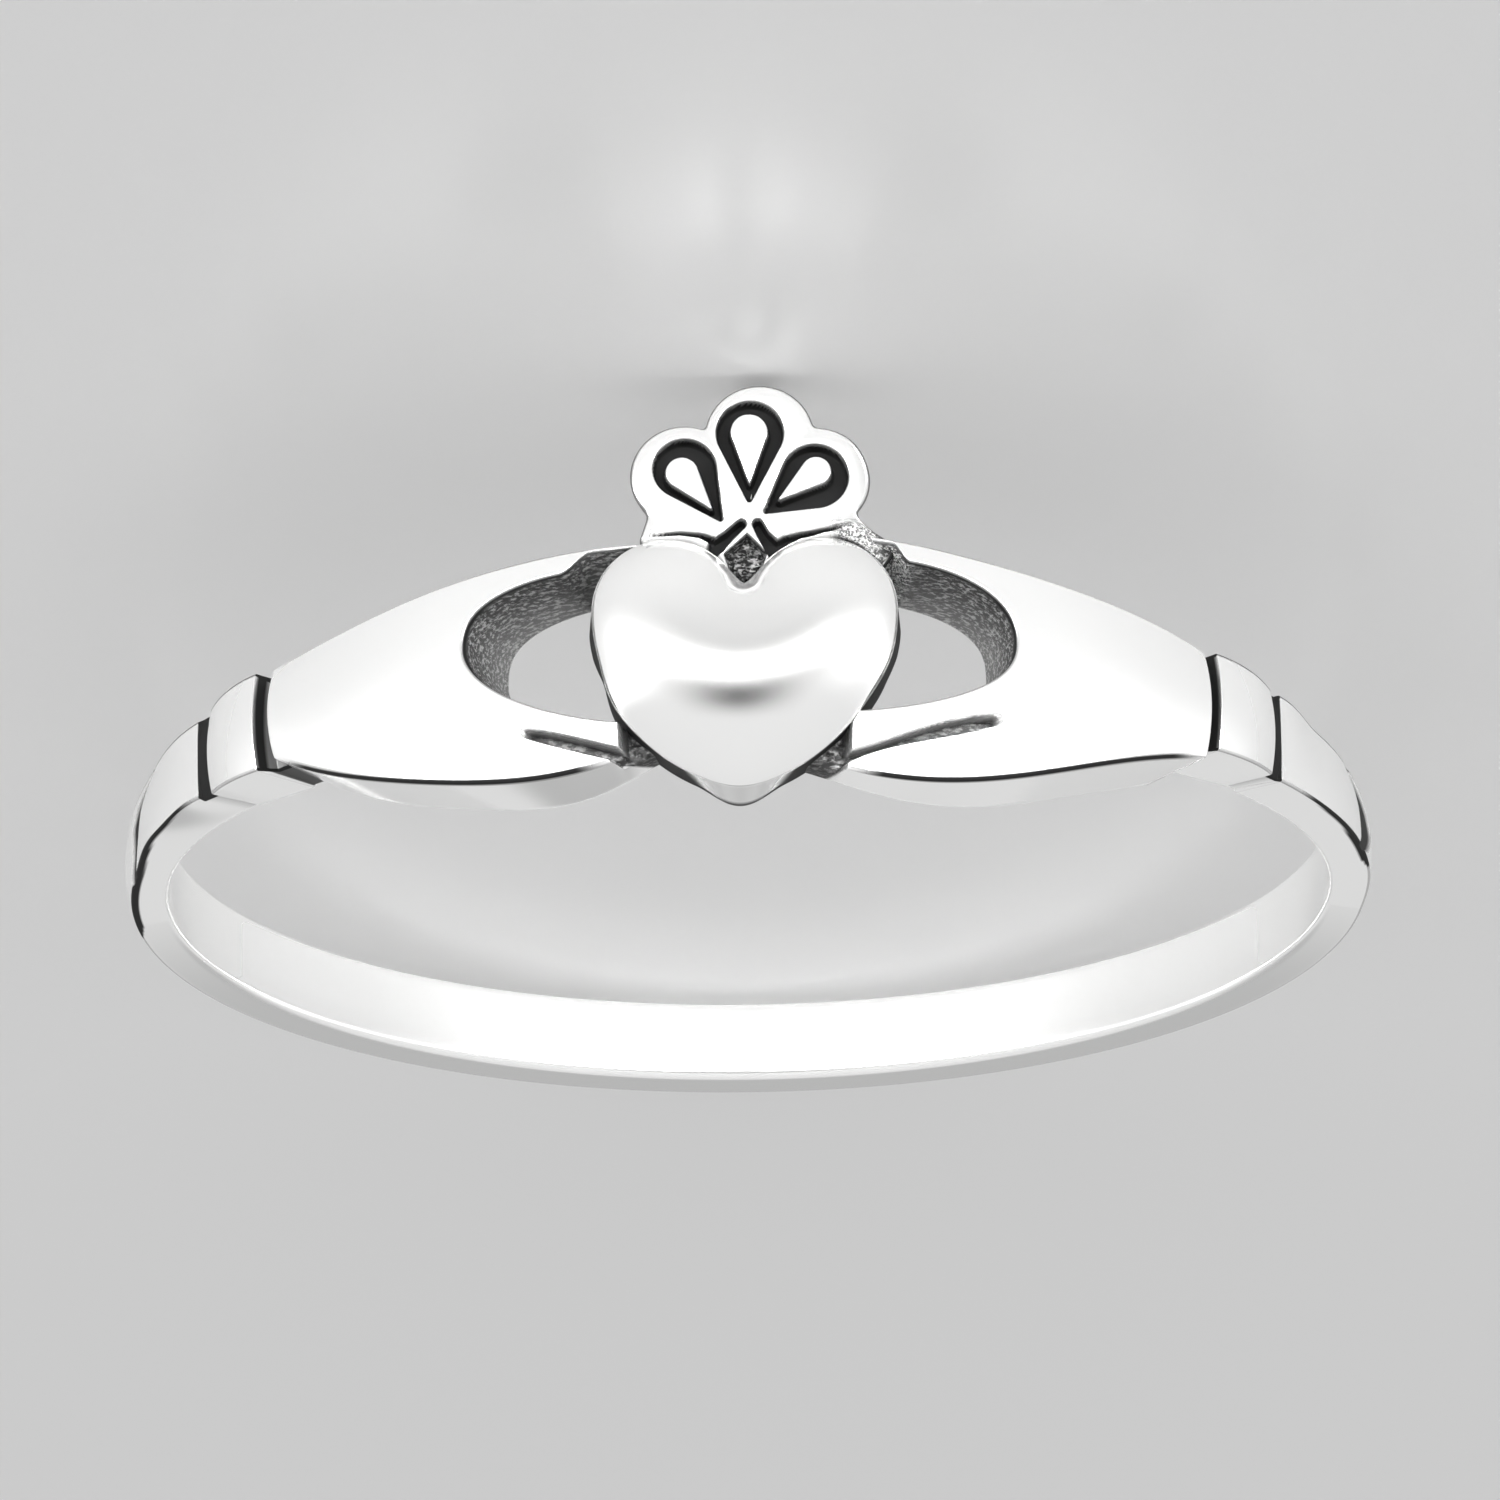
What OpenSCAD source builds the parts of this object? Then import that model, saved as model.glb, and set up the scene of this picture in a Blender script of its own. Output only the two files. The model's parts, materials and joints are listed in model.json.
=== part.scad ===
// Claddagh ring: two cuffed hands hold a crowned heart on a slim round band, cast as one piece.
//
// It is built upright: the finger runs along Z, the heart faces -Y and the crown points up.
// A place on the ring is an angle from the heart, a radius from the finger's axis and a height.
// At the end it is laid down the way it rests: on the crown's top lobe and the back of the band.

/* [Finger hole and band] */
// Inside diameter of the ring
bore_d = 17.3; // [15:0.1:20]
// Width of the plain band, along the finger
band_w = 1.36; // [1.2:0.02:1.5]
// Thickness of the plain band
band_t = 0.68; // [0.55:0.01:0.85]
// Rise of the band's round face over its edges
band_dome = 0.12; // [0.05:0.01:0.3]
// Softening of the band's edges where they meet the finger
band_ease = 0.09; // [0.02:0.01:0.15]
// Easing of the finger hole behind the bezel, past the band's width
bezel_ease = 0.02; // [0.01:0.01:0.05]

/* [Shoulders] */
// Thickness of the shoulder beside the cuff
shoulder_t = 0.9; // [0.8:0.01:1]
// Width of the shoulder beside the cuff
shoulder_w = 1.3; // [1.1:0.01:1.4]
// Angle from the heart at which the shoulder has run out into the band
shoulder_end = 95; // [80:1:110]

/* [Cuffs] */
// Angle from the heart to the near end of the cuff
cuff_start = 45.8; // [44:0.2:50]
// Angle that the cuff takes up along the band
cuff_sweep = 8.4; // [6:0.2:11]
// Width of the cuff, along the finger
cuff_w = 1.5; // [1.35:0.01:1.7]
// Thickness of the cuff at its near end
cuff_t = 1.24; // [1.15:0.01:1.4]
// Thickness of the cuff at its far end
cuff_end_t = 1.0; // [0.95:0.01:1.15]
// Angle that a groove beside the cuff takes up
groove_sweep = 1.9; // [1:0.1:3]
// Thickness of the metal under the grooves
groove_t = 0.82; // [0.7:0.01:0.88]
// Width of the metal in the grooves
groove_w = 1.06; // [0.9:0.01:1.15]
// Height of the cuffs' middle over the band's middle
cuff_lift = -0.12; // [-0.25:0.01:0]

/* [Hands] */
// Greatest thickness of a hand at its edges
hand_t = 1.4; // [1.25:0.01:1.6]
// Reach of a hand above the band's middle
hand_rise = 1.55; // [1.5:0.01:1.7]
// Reach of a hand below the band's middle
hand_drop = 2.02; // [1.9:0.01:2.2]
// Rise of a hand's face between its edges
hand_dome = 0.14; // [0.05:0.01:0.25]
// Reach of a hand's underside past its front edge, at the finger
hand_flare = 0.06; // [0:0.01:0.2]
// Angle from the heart to the end of the opening between the fingers
opening_end = 23.6; // [21:0.1:26]
// Height of the opening's blunt end over the band's middle
opening_lift = 0.08; // [0:0.01:0.15]
// Reach of the opening above its blunt end, at the face of the hand
opening_rise = 1.3; // [1.2:0.01:1.34]
// Reach of the opening above its blunt end, at the finger
opening_rise_in = 0.86; // [0.7:0.01:1]
// Reach of the opening below its blunt end
opening_drop = 1.16; // [1.05:0.01:1.2]
// Angle from the heart to the tips of the fingers above the slot
tip_start = 10.2; // [9.4:0.1:11]
// Slant of a lower finger's tip in towards the heart, from its face to the web, in degrees
tip_slant = 2.2; // [1:0.1:3]
// Angle from the heart to the tips of the upper fingers, at their top edge
upper_tip = 14; // [13:0.1:15.5]
// Slant of an upper finger's tip away from the heart, from its top edge to the opening, in degrees
upper_tip_slant = 1.8; // [1:0.1:2.5]
// Thickness of the low web between the finger tips and the heart
web_t = 0.58; // [0.45:0.01:0.7]
// Angle from the heart to the far end of the slot between the lower fingers
slot_end = 20.2; // [18:0.1:22]
// Depth of the slot's upper edge under the band's middle, beside the heart
slot_drop = 1.86; // [1.8:0.01:1.9]
// Rise of the slot towards the wrist
slot_rise = 0.62; // [0.5:0.01:0.7]
// Width of the slot where it opens
slot_w = 0.18; // [0.12:0.01:0.22]
// Depth of the slot
slot_deep = 0.34; // [0.2:0.01:0.45]

/* [Heart] */
// Width of the heart
heart_w = 4.42; // [4.2:0.02:4.7]
// Height of the heart's lobes over the band's middle
heart_top = 1.58; // [1.5:0.01:1.65]
// Depth of the heart's tip under the band's middle
heart_tip = 2.2; // [2.1:0.01:2.3]
// Height of the notch between the lobes
heart_notch = 0.86; // [0.75:0.01:0.95]
// Radius of each lobe
lobe_r = 1.09; // [1.04:0.01:1.1]
// Radius of the blunt tip
tip_r = 1.5; // [1.2:0.05:1.6]
// Draft of the heart's side wall towards the finger
heart_draft = 0.08; // [0:0.01:0.12]
// Thickness of the heart at its edge
heart_t = 0.9; // [0.8:0.01:1.1]
// Rise of the heart's dome over its edge
heart_dome = 0.7; // [0.5:0.01:0.9]

/* [Crown] */
// Height of the crown's top over the band's middle
crown_top = 3.94; // [3.8:0.01:4.1]
// Width of the crown across its side lobes
crown_w = 3.46; // [3.3:0.02:3.6]
// Radius of the crown's three lobes
crown_lobe_r = 0.79; // [0.74:0.01:0.84]
// Width of the crown's foot
crown_foot_w = 3.0; // [2.8:0.02:3.1]
// Thickness of the crown
crown_t = 0.95; // [0.85:0.01:1.05]
// Sideways place of the crown's middle
crown_shift = 0.1; // [0:0.01:0.15]
// Sideways place of the middle lobe, from the crown's middle
top_shift = 0.13; // [0:0.01:0.2]
// Radius of the round end of a teardrop groove
petal_r = 0.48; // [0.42:0.01:0.5]
// Length of a teardrop groove from its point to the middle of its round end
petal_len = 0.98; // [0.85:0.01:1.02]
// Width of the teardrop grooves
petal_groove = 0.2; // [0.12:0.01:0.24]
// Depth of the crown's grooves
crown_groove_deep = 0.3; // [0.15:0.01:0.4]
// Length of each short groove over the heart's notch
short_groove_len = 0.5; // [0.4:0.01:0.55]
// Lean of the short grooves from upright
short_groove_lean = 36; // [30:1:42]
// Width of the groove that parts the crown from the heart
parting_w = 0.07; // [0.04:0.01:0.1]

/* [Hidden] */

bore_r = bore_d / 2;
band_r = bore_r + band_t;
// Everything reaches this far into the finger hole before the hole is cut.
overlap = 0.35;
// Cutters reach this far past the thickest face.
clear = 0.6;
// Sharp edges are broken by this much.
edge_drop = 0.05;
// A groove's walls lean over by this angle.
groove_slope = 0.2;
deep_r = bore_r - overlap;
far_r = bore_r + hand_t + hand_dome + clear;
// Angle between sections, in degrees
step = 2;
// Points of a section's face on each side of its middle, and the share of them on its flat
FACE_STEPS = 5;
FLAT_STEPS = 0.6;
// Thickness of the fingers beside the slot
lower_finger_t = 0.86 * hand_t;
// Flat share of a face whose edges are only broken
crisp = 0.96;
// Flat share of the band's round face
band_flat = 0.1;
silver = "silver";

// Height of the side lobes' middles, as a share of the crown's height over the heart
side_lobe_share = 0.41;

// Angles in order from the heart outwards
wrist = cuff_start - groove_sweep;
cuff_finish = cuff_start + cuff_sweep;
shoulder_start = cuff_finish + groove_sweep;
finger_root = 5;
// Cuts in the hands start here, inside the heart.
cut_start = 3;
// Length of the slot's rounded end, in degrees
slot_round = 1.5;
// Cuts that trim the finger tips reach this far past their edges.
tip_margin = 0.3;
// The opening's ovals have their middle here; the upper one is a little leaner than a true oval.
oval_start = 9;
upper_bow = 1.15;

// Hand sections, as shares: along = of the angle from the heart to the wrist, low = of
// hand_drop, high = of hand_rise, wall = of hand_t.
LOW = 1;
HIGH = 2;
WALL = 3;
HAND = [
    // along, low, high, wall
    [0.11, 0.77, 1.00, 0.50],
    [0.20, 0.83, 1.00, 0.60],
    [0.28, 0.94, 1.00, 0.69],
    [0.38, 1.00, 0.92, 0.82],
    [0.48, 0.99, 0.81, 0.91],
    [0.58, 0.94, 0.70, 0.96],
    [0.70, 0.82, 0.59, 1.00],
    [0.81, 0.68, 0.50, 0.98],
    [0.92, 0.53, 0.42, 0.93],
    [1.00, 0.44, 0.36, 0.88]
];

// Teardrop grooves of the crown: x and z place the round end's middle, x as a share of crown_w
// and z as a share of the crown's height over the heart; lean is the angle from upright.
PETALS = [
    // x, z, lean
    [0.00, 0.688, 0],
    [-0.270, 0.457, 34],
    [0.272, 0.415, -52]
];

// A point of the ring from its angle, radius and height
function at(angle, radius, height) = [radius * sin(angle), -radius * cos(angle), height];

// Cubic through four equally weighted values, for a smooth run through a table
function cubic(a, b, c, d, t) =
    b + 0.5 * t * (c - a + t * (2 * a - 5 * b + 4 * c - d + t * (3 * (b - c) + d - a)));

// Index of the last row whose first column doesn't pass the value
function row_before(table, value, i = 0) =
    i >= len(table) - 2 || table[i + 1][0] > value ? i : row_before(table, value, i + 1);

// A column of a table at a value of its first column
function column_at(table, value, column) =
    let (i = row_before(table, value),
         n = len(table) - 1,
         t = (value - table[i][0]) / (table[i + 1][0] - table[i][0]))
    cubic(table[max(i - 1, 0)][column], table[i][column], table[i + 1][column],
          table[min(i + 2, n)][column], t);

// Angles from one to another in even steps no longer than the given one
function angles(from, to, size) =
    let (n = ceil((to - from) / size)) [for (i = [0 : n]) from + (to - from) * i / n];

// Faces between rings of n points, from each ring to the next one named in pairs
function skin(pairs, n) = [
    for (pair = pairs, j = [0 : n - 1])
        let (a = pair[0] * n, b = pair[1] * n, k = (j + 1) % n)
        each [[a + j, b + k, b + j], [a + j, a + k, b + k]]
];

// A closed hoop of rings of points
module hoop(rings) {
    m = len(rings);
    polyhedron(
        points = [for (ring = rings) each ring],
        faces = skin([for (i = [0 : m - 1]) [i, (i + 1) % m]], len(rings[0]))
    );
}

// A prism that points away from the finger's axis. Its outlines hold an angle and a height a point.
module radial_prism(inner, outer, r_in, r_out) {
    n = len(inner);
    polyhedron(
        points = concat(
            [for (p = outer) at(p[0], r_out, p[1])],
            [for (p = inner) at(p[0], r_in, p[1])]
        ),
        faces = concat(
            [for (j = [1 : n - 2]) [0, j + 1, j]],
            skin([[0, 1]], n),
            [for (j = [1 : n - 2]) [n, n + j, n + j + 1]]
        )
    );
}

// A section of the hoop: a straight back inside the finger hole, whose ends lie in and out from
// the face's edges by the two eases, and a face that rises by dome between its edges. Outside its
// flat share the face falls by drop, straight with a bend of 1 and round with a bend of 2.
function section(angle, low, high, ease_low, ease_high, radius, dome, flat, drop, bend) =
    let (middle = (low + high) / 2, half = (high - low) / 2)
    concat(
        [at(angle, deep_r, high - ease_high), at(angle, deep_r, low + ease_low)],
        [for (i = [-FACE_STEPS : FACE_STEPS])
            let (c = i / FACE_STEPS,
                 k = abs(c) <= FLAT_STEPS
                     ? c * flat / FLAT_STEPS
                     : sign(c) * (1 - (1 - flat) * (1 - abs(c)) / (1 - FLAT_STEPS)),
                 past = max(0, abs(k) - flat) / (1 - flat))
            at(angle, radius + dome * (1 - k * k) - drop * pow(past, bend), middle + half * k)]
    );

// Sections of a hand, from under the heart out to the wrist
function hand_sections() = [
    for (a = angles(finger_root, wrist, step))
        let (share = a / wrist)
        section(a, -hand_drop * column_at(HAND, share, LOW), hand_rise * column_at(HAND, share, HIGH),
                -hand_flare, 0, bore_r + hand_t * column_at(HAND, share, WALL), hand_dome, crisp,
                edge_drop, 2)
];

// Sections of a groove beside the cuff
function groove_sections(from, to) = [
    for (a = [from + groove_slope, to - groove_slope])
        section(a, cuff_lift - groove_w / 2, cuff_lift + groove_w / 2, 0, 0, bore_r + groove_t,
                0, crisp, edge_drop, 2)
];

// Sections of a cuff, thinner towards its far end
function cuff_sections() = [
    for (a = angles(cuff_start, cuff_finish, step))
        let (t = (a - cuff_start) / cuff_sweep)
        section(a, cuff_lift - cuff_w / 2, cuff_lift + cuff_w / 2, 0, 0,
                bore_r + cuff_t + (cuff_end_t - cuff_t) * t * t, 0, crisp, edge_drop, 2)
];

// Sections of a shoulder: its flat panel narrows to a point as the band's round face takes over
function shoulder_sections() = [
    for (a = angles(shoulder_start, shoulder_end, 2 * step))
        let (t = (a - shoulder_start) / (shoulder_end - shoulder_start),
             lift = cuff_lift * (1 - t),
             half = (shoulder_w + (band_w - shoulder_w) * t) / 2,
             radius = band_r + (shoulder_t - band_t) * pow(1 - t, 2))
        section(a, lift - half, lift + half, band_ease * t, band_ease * t, radius, 0,
                crisp + (band_flat - crisp) * t, edge_drop + (band_dome - edge_drop) * t, 2)
];

// Sections of the plain band, to the back of the ring
function band_sections() = [
    for (a = angles(shoulder_end, 180, 2 * step))
        if (a > shoulder_end)
            section(a, -band_w / 2, band_w / 2, band_ease, band_ease, band_r, 0, band_flat,
                    band_dome, 2)
];

// The whole hoop from hand to hand: the second half mirrors the first
module shank() {
    half = concat(
        hand_sections(),
        groove_sections(wrist, cuff_start),
        cuff_sections(),
        groove_sections(cuff_finish, shoulder_start),
        shoulder_sections(),
        band_sections()
    );
    color(silver)
        hoop(concat(
            half,
            [for (i = [len(half) - 2 : -1 : 0]) [for (p = half[i]) [-p[0], p[1], p[2]]]]
        ));
}

// Both sides of the ring
module sides() {
    children();
    mirror([1, 0, 0]) children();
}

// Outline of the opening as [angle, height]: two quarter ovals that share a blunt end
function opening_outline(rise, n = 12) =
    let (reach = opening_end - oval_start)
    concat(
        [[cut_start, opening_lift - opening_drop], [oval_start, opening_lift - opening_drop]],
        [for (i = [1 : n])
            [oval_start + reach * sin(90 * i / n), opening_lift - opening_drop * cos(90 * i / n)]],
        [for (i = [n - 1 : -1 : 0])
            [oval_start + reach * sin(90 * i / n),
             opening_lift + rise * pow(cos(90 * i / n), upper_bow)]],
        [[cut_start, opening_lift + rise]]
    );

module opening() {
    slope = (opening_rise - opening_rise_in) / hand_t;
    radial_prism(opening_outline(opening_rise_in - slope * overlap),
                 opening_outline(opening_rise + slope * clear), deep_r, far_r);
}

// The slot between the lower fingers widens from a rounded end to where it opens beside the heart
module slot() {
    round_start = slot_end - slot_round;
    outline = [
        [cut_start, -slot_drop - slot_w],
        [round_start, -slot_drop + slot_rise - slot_w * 0.8],
        [slot_end, -slot_drop + slot_rise - slot_w * 0.4],
        [round_start, -slot_drop + slot_rise],
        [cut_start, -slot_drop]
    ];
    radial_prism(outline, outline, bore_r + lower_finger_t - slot_deep, far_r);
}

// The finger tips end before the heart: inside this outline only the low web is left. The lower
// finger's tip slants in towards the web and is the longer one at the finger.
module finger_tips() {
    top = opening_lift - opening_drop + tip_margin;
    split = -slot_drop + slot_w * 1.4;
    under = -hand_drop - tip_margin;
    function outline(start, low_start) = [
        [cut_start, under],
        [low_start, under],
        [low_start, split - slot_w * 0.7],
        [start, split],
        [start, top],
        [cut_start, top]
    ];
    lower_start = tip_start + tip_slant / 2;
    radial_prism(outline(tip_start - tip_slant / 3, lower_start - 1.5 * tip_slant),
                 outline(tip_start, lower_start),
                 bore_r + web_t, bore_r + lower_finger_t + hand_dome);
}

// The upper finger's tip ends before the heart too, where it meets the crown's foot
module upper_finger_tip() {
    outline = [
        [cut_start, opening_lift + opening_rise_in],
        [upper_tip + 2 * upper_tip_slant, opening_lift + opening_rise_in],
        [upper_tip, hand_rise],
        [upper_tip - upper_tip_slant, hand_rise + tip_margin],
        [cut_start, hand_rise + tip_margin]
    ];
    radial_prism(outline, outline, bore_r + web_t, far_r);
}

// Half of the heart's outline, from the tip up its side and over the lobe to the notch: three
// arcs, each of which runs smoothly into the next, and a straight side down to the notch
function heart_half(grow = 0) =
    let (half = heart_w / 2,
         cx = half - lobe_r,
         cz = heart_top - lobe_r,
         tip_z = tip_r - heart_tip,
         k = cz - tip_z,
         side = (half * half + k * k - tip_r * tip_r) / (2 * (half - tip_r)),
         turn = atan2(k, side - half),
         reach = norm([cx, heart_notch - cz]),
         touch = 180 - atan2(heart_notch - cz, cx) - acos(lobe_r / reach))
    concat(
        [for (i = [0 : 3])
            let (a = (90 - turn) * i / 4)
            [(tip_r + grow) * sin(a), tip_z - (tip_r + grow) * cos(a)]],
        [for (i = [0 : 7])
            let (a = turn * (1 - i / 8))
            [half - side + (side + grow) * cos(a), cz - (side + grow) * sin(a)]],
        [for (i = [0 : 12])
            let (a = touch * i / 12)
            [cx + (lobe_r + grow) * cos(a), cz + (lobe_r + grow) * sin(a)]],
        [[0, heart_notch + grow]]
    );

function heart_outline(grow = 0) =
    let (half = heart_half(grow), n = len(half))
    concat(half, [for (i = [n - 2 : -1 : 1]) [-half[i][0], half[i][1]]]);

// The heart's dome: copies of its outline that shrink to a middle point as they rise
module heart() {
    outline = heart_outline();
    n = len(outline);
    middle = [0, (heart_top - heart_tip) / 3];
    rings = 7;
    edge_y = -bore_r - heart_t;
    shell = [for (i = [0 : rings - 1])
        let (s = cos(90 * i / rings), rise = heart_dome * pow(1 - pow(s, 2.6), 0.9))
        [for (p = outline) [middle[0] + (p[0] - middle[0]) * s, edge_y - rise,
                            middle[1] + (p[1] - middle[1]) * s]]];
    back = [for (p = heart_outline(-heart_draft)) [p[0], -deep_r, p[1]]];
    loops = concat([back], shell);
    last = rings * n;
    color(silver)
        polyhedron(
            points = concat(
                [for (loop = loops) each loop],
                [[middle[0], edge_y - heart_dome, middle[1]]]
            ),
            faces = concat(
                [for (j = [1 : n - 2]) [0, j, j + 1]],
                skin([for (i = [0 : rings - 1]) [i + 1, i]], n),
                [for (j = [0 : n - 1]) [last + j, last + n, last + (j + 1) % n]]
            )
        );
}

module teardrop(radius, length) {
    // The straight sides touch the round end
    a = acos(radius / length);
    polygon(concat([[0, -length]], [for (i = [0 : 12])
        let (b = -90 + a + (360 - 2 * a) * i / 12) [radius * cos(b), radius * sin(b)]]));
}

// Upright plates: a flat outline of x and height, from its front face back to a given depth
module plate(front, back) {
    translate([0, -back, 0])
        rotate([90, 0, 0])
            linear_extrude(front - back)
                children();
}

module crown_outline() {
    side_x = crown_w / 2 - crown_lobe_r;
    top_z = crown_top - crown_lobe_r;
    side_z = heart_top + (crown_top - heart_top) * side_lobe_share;
    foot_z = heart_top + crown_lobe_r * 0.45;
    half = crown_foot_w / 2;
    translate([crown_shift, 0]) {
        translate([top_shift, top_z])
            circle(r = crown_lobe_r, $fn = 64);
        for (s = [-1, 1])
            translate([s * side_x, side_z])
                circle(r = crown_lobe_r, $fn = 64);
        // The foot, as wide as the crown's neck, and the metal between the lobes
        polygon([
            [-half, heart_notch],
            [half, heart_notch],
            [half, foot_z],
            [side_x + crown_lobe_r * 0.86, side_z - crown_lobe_r * 0.4],
            [top_shift + crown_lobe_r * 0.8, top_z - crown_lobe_r * 0.1],
            [top_shift - crown_lobe_r * 0.8, top_z - crown_lobe_r * 0.1],
            [-side_x - crown_lobe_r * 0.86, side_z - crown_lobe_r * 0.4],
            [-half, foot_z]
        ]);
    }
}

// A teardrop groove round a petal that stays as high as the crown's face
module petal_groove_shape() {
    difference() {
        teardrop(petal_r, petal_len);
        teardrop(petal_r - petal_groove, petal_len - petal_groove * 1.5);
    }
}

module crown() {
    face = bore_r + crown_t;
    floor_y = face - crown_groove_deep;
    tall = crown_top - heart_top;
    color(silver)
        difference() {
            plate(face, deep_r)
                crown_outline();
            for (p = PETALS)
                plate(face + clear, floor_y)
                    translate([crown_shift + p[0] * crown_w, heart_top + p[1] * tall])
                        rotate(p[2])
                            petal_groove_shape();
            // Two short grooves lean in towards each other under the petals
            for (s = [-1, 1])
                plate(face + clear, floor_y)
                    translate([crown_shift + s * petal_groove, heart_top + parting_w])
                        rotate(s * short_groove_lean)
                            square([petal_groove, short_groove_len], center = true);
            // The groove that parts the crown from the heart's lobes
            plate(face + clear, floor_y)
                polygon(heart_outline(parting_w));
        }
}

// The ring before the finger hole is cut
module casting() {
    difference() {
        shank();
        sides() {
            opening();
            slot();
            finger_tips();
            upper_finger_tip();
        }
    }
    heart();
    crown();
}

// Laid down: the crown's lobe and the back of the band touch the surface
module laid_down() {
    lean = atan2(crown_top - band_w / 2, 2 * bore_r + band_t - band_dome);
    rotate([-lean, 0, 0])
        rotate([0, 180, 0])
            children();
}

module ring() {
    tall = 2 * (crown_top + clear);
    laid_down()
        difference() {
            casting();
            translate([0, 0, -tall / 2])
                cylinder(r = bore_r, h = tall, $fn = 96);
            // Past the band's width the hole is eased a little behind the bezel
            for (z = [band_w / 2 + edge_drop, -band_w / 2 - edge_drop - tall])
                translate([0, 0, z])
                    cylinder(r = bore_r + bezel_ease, h = tall, $fn = 96);
        }
}

ring();
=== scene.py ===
# %% [markdown]
# # A claddagh ring in silver
#
# The ring is one casting: a slim band, two cuffed hands, a puffed heart and a small crown.
# The solid model already has its size and its place. This lesson dresses it: it makes the
# same forms again as smooth surfaces fine enough to mirror a room, and gives them silver
# that is polished where hands rub it and black where polish never reaches.
#
# First the solid model is loaded. It stays as it is, and its box is kept and printed, so
# that the box of the surfaces, printed at the end, can be set beside it. It stays as it
# is, for collision, and its box is kept so that the surfaces can be measured against it at
# the end.

# %% Load the solid model
import json
import math
import bpy
import numpy as np
from mathutils import Matrix, Vector


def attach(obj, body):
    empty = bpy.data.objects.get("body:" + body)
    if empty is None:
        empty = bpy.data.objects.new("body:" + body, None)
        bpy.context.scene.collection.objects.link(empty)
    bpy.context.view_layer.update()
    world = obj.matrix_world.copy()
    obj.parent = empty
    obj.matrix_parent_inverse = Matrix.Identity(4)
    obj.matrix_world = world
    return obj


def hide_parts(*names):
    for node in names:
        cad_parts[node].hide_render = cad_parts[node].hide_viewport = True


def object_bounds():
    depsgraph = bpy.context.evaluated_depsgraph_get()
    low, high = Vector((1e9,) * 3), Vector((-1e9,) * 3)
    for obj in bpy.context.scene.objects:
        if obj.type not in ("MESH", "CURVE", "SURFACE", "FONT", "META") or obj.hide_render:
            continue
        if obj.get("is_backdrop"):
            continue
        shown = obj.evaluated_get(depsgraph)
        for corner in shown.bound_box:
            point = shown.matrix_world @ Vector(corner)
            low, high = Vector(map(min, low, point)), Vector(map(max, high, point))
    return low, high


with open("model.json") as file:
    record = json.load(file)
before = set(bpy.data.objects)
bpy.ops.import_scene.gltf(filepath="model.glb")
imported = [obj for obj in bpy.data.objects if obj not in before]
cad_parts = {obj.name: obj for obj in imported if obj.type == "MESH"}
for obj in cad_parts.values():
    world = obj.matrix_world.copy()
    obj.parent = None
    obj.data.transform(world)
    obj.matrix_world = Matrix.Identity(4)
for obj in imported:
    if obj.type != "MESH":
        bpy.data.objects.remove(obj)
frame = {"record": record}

cad_box = [list(corner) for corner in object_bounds()]
print("solid model, mm:", [[round(v * 1000, 2) for v in corner] for corner in cad_box])

# %% [markdown]
# ## One place for every point
#
# A ring is easiest to describe upright: an angle from the heart, a radius from the finger's
# axis and a height. But a ring left on a table lies down, on its crown and the back of its
# band. The record says how far the finger hole's axis leans, so one function turns each
# upright point in millimetres into its place on the table in metres. The turn is applied to
# the points themselves, and every object stays at the origin.

# %% Lay upright points down
finger_hole = next(m for m in frame["record"]["mounts"] if m["name"] == "finger_hole")
BORE_R = finger_hole["dims"]["r_mm"]
LEAN = math.atan2(finger_hole["axis"][1], finger_hole["axis"][2])
MM = 0.001


def lay_down(points):
    """Half a turn about Y, then the lean about X: (-x, y cos - z sin, -y sin - z cos)."""
    x, y, z = np.moveaxis(np.asarray(points, float), -1, 0)
    lean_cos, lean_sin = math.cos(LEAN), math.sin(LEAN)
    return MM * np.stack([-x, y * lean_cos - z * lean_sin, -y * lean_sin - z * lean_cos], -1)


def on_ring(angle, radius, height):
    """An upright point from its angle in degrees: (r sin a, -r cos a, z)."""
    a = np.radians(angle)
    return np.stack(np.broadcast_arrays(radius * np.sin(a), -radius * np.cos(a), height), -1)


print("finger hole radius", BORE_R, "mm, lean", round(math.degrees(LEAN), 2), "degrees")

# %% [markdown]
# ## From a grid of points to a mesh
#
# Each form is a sheet of points on a grid, closed in one or both directions like a tube or a
# ring doughnut, or closed at its ends by a single point. The faces follow from the grid's
# shape alone. The signed volume of a closed mesh tells whether its faces look out, so a
# sheet that was walked round the other way is turned without anyone having to look.
#
# A mesh also carries marks, one number a point, that tell the silver what polish missed and where
# dark reflection and shade are painted along edges.

# %% Mesh helpers
MARKS = ("tarnish", "cast", "line", "buffed")


def grid_faces(rows, cols, wrap_rows=False):
    """Quads of a grid whose columns wrap round: a point, its neighbour and the two below."""
    i = np.arange(rows if wrap_rows else rows - 1)[:, None]
    j = np.arange(cols)[None, :]
    below, right = (i + 1) % rows, (j + 1) % cols
    quads = np.stack([i * cols + j, i * cols + right, below * cols + right, below * cols + j], -1)
    return quads.reshape(-1, 4)


def pole_faces(pole, row, cols, flip):
    """Triangles from one point to every side of a row."""
    j = np.arange(cols)
    a, b = row * cols + j, row * cols + (j + 1) % cols
    return np.stack([np.full(cols, pole), b, a] if flip else [np.full(cols, pole), a, b], -1)


def signed_volume(points, quads, triangles):
    """A sixth of the sum of a . (b x c) over the triangles."""
    t = np.concatenate([quads[:, [0, 1, 2]], quads[:, [0, 2, 3]], triangles])
    a, b, c = points[t[:, 0]], points[t[:, 1]], points[t[:, 2]]
    return float((a * np.cross(b, c)).sum() / 6)


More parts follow.
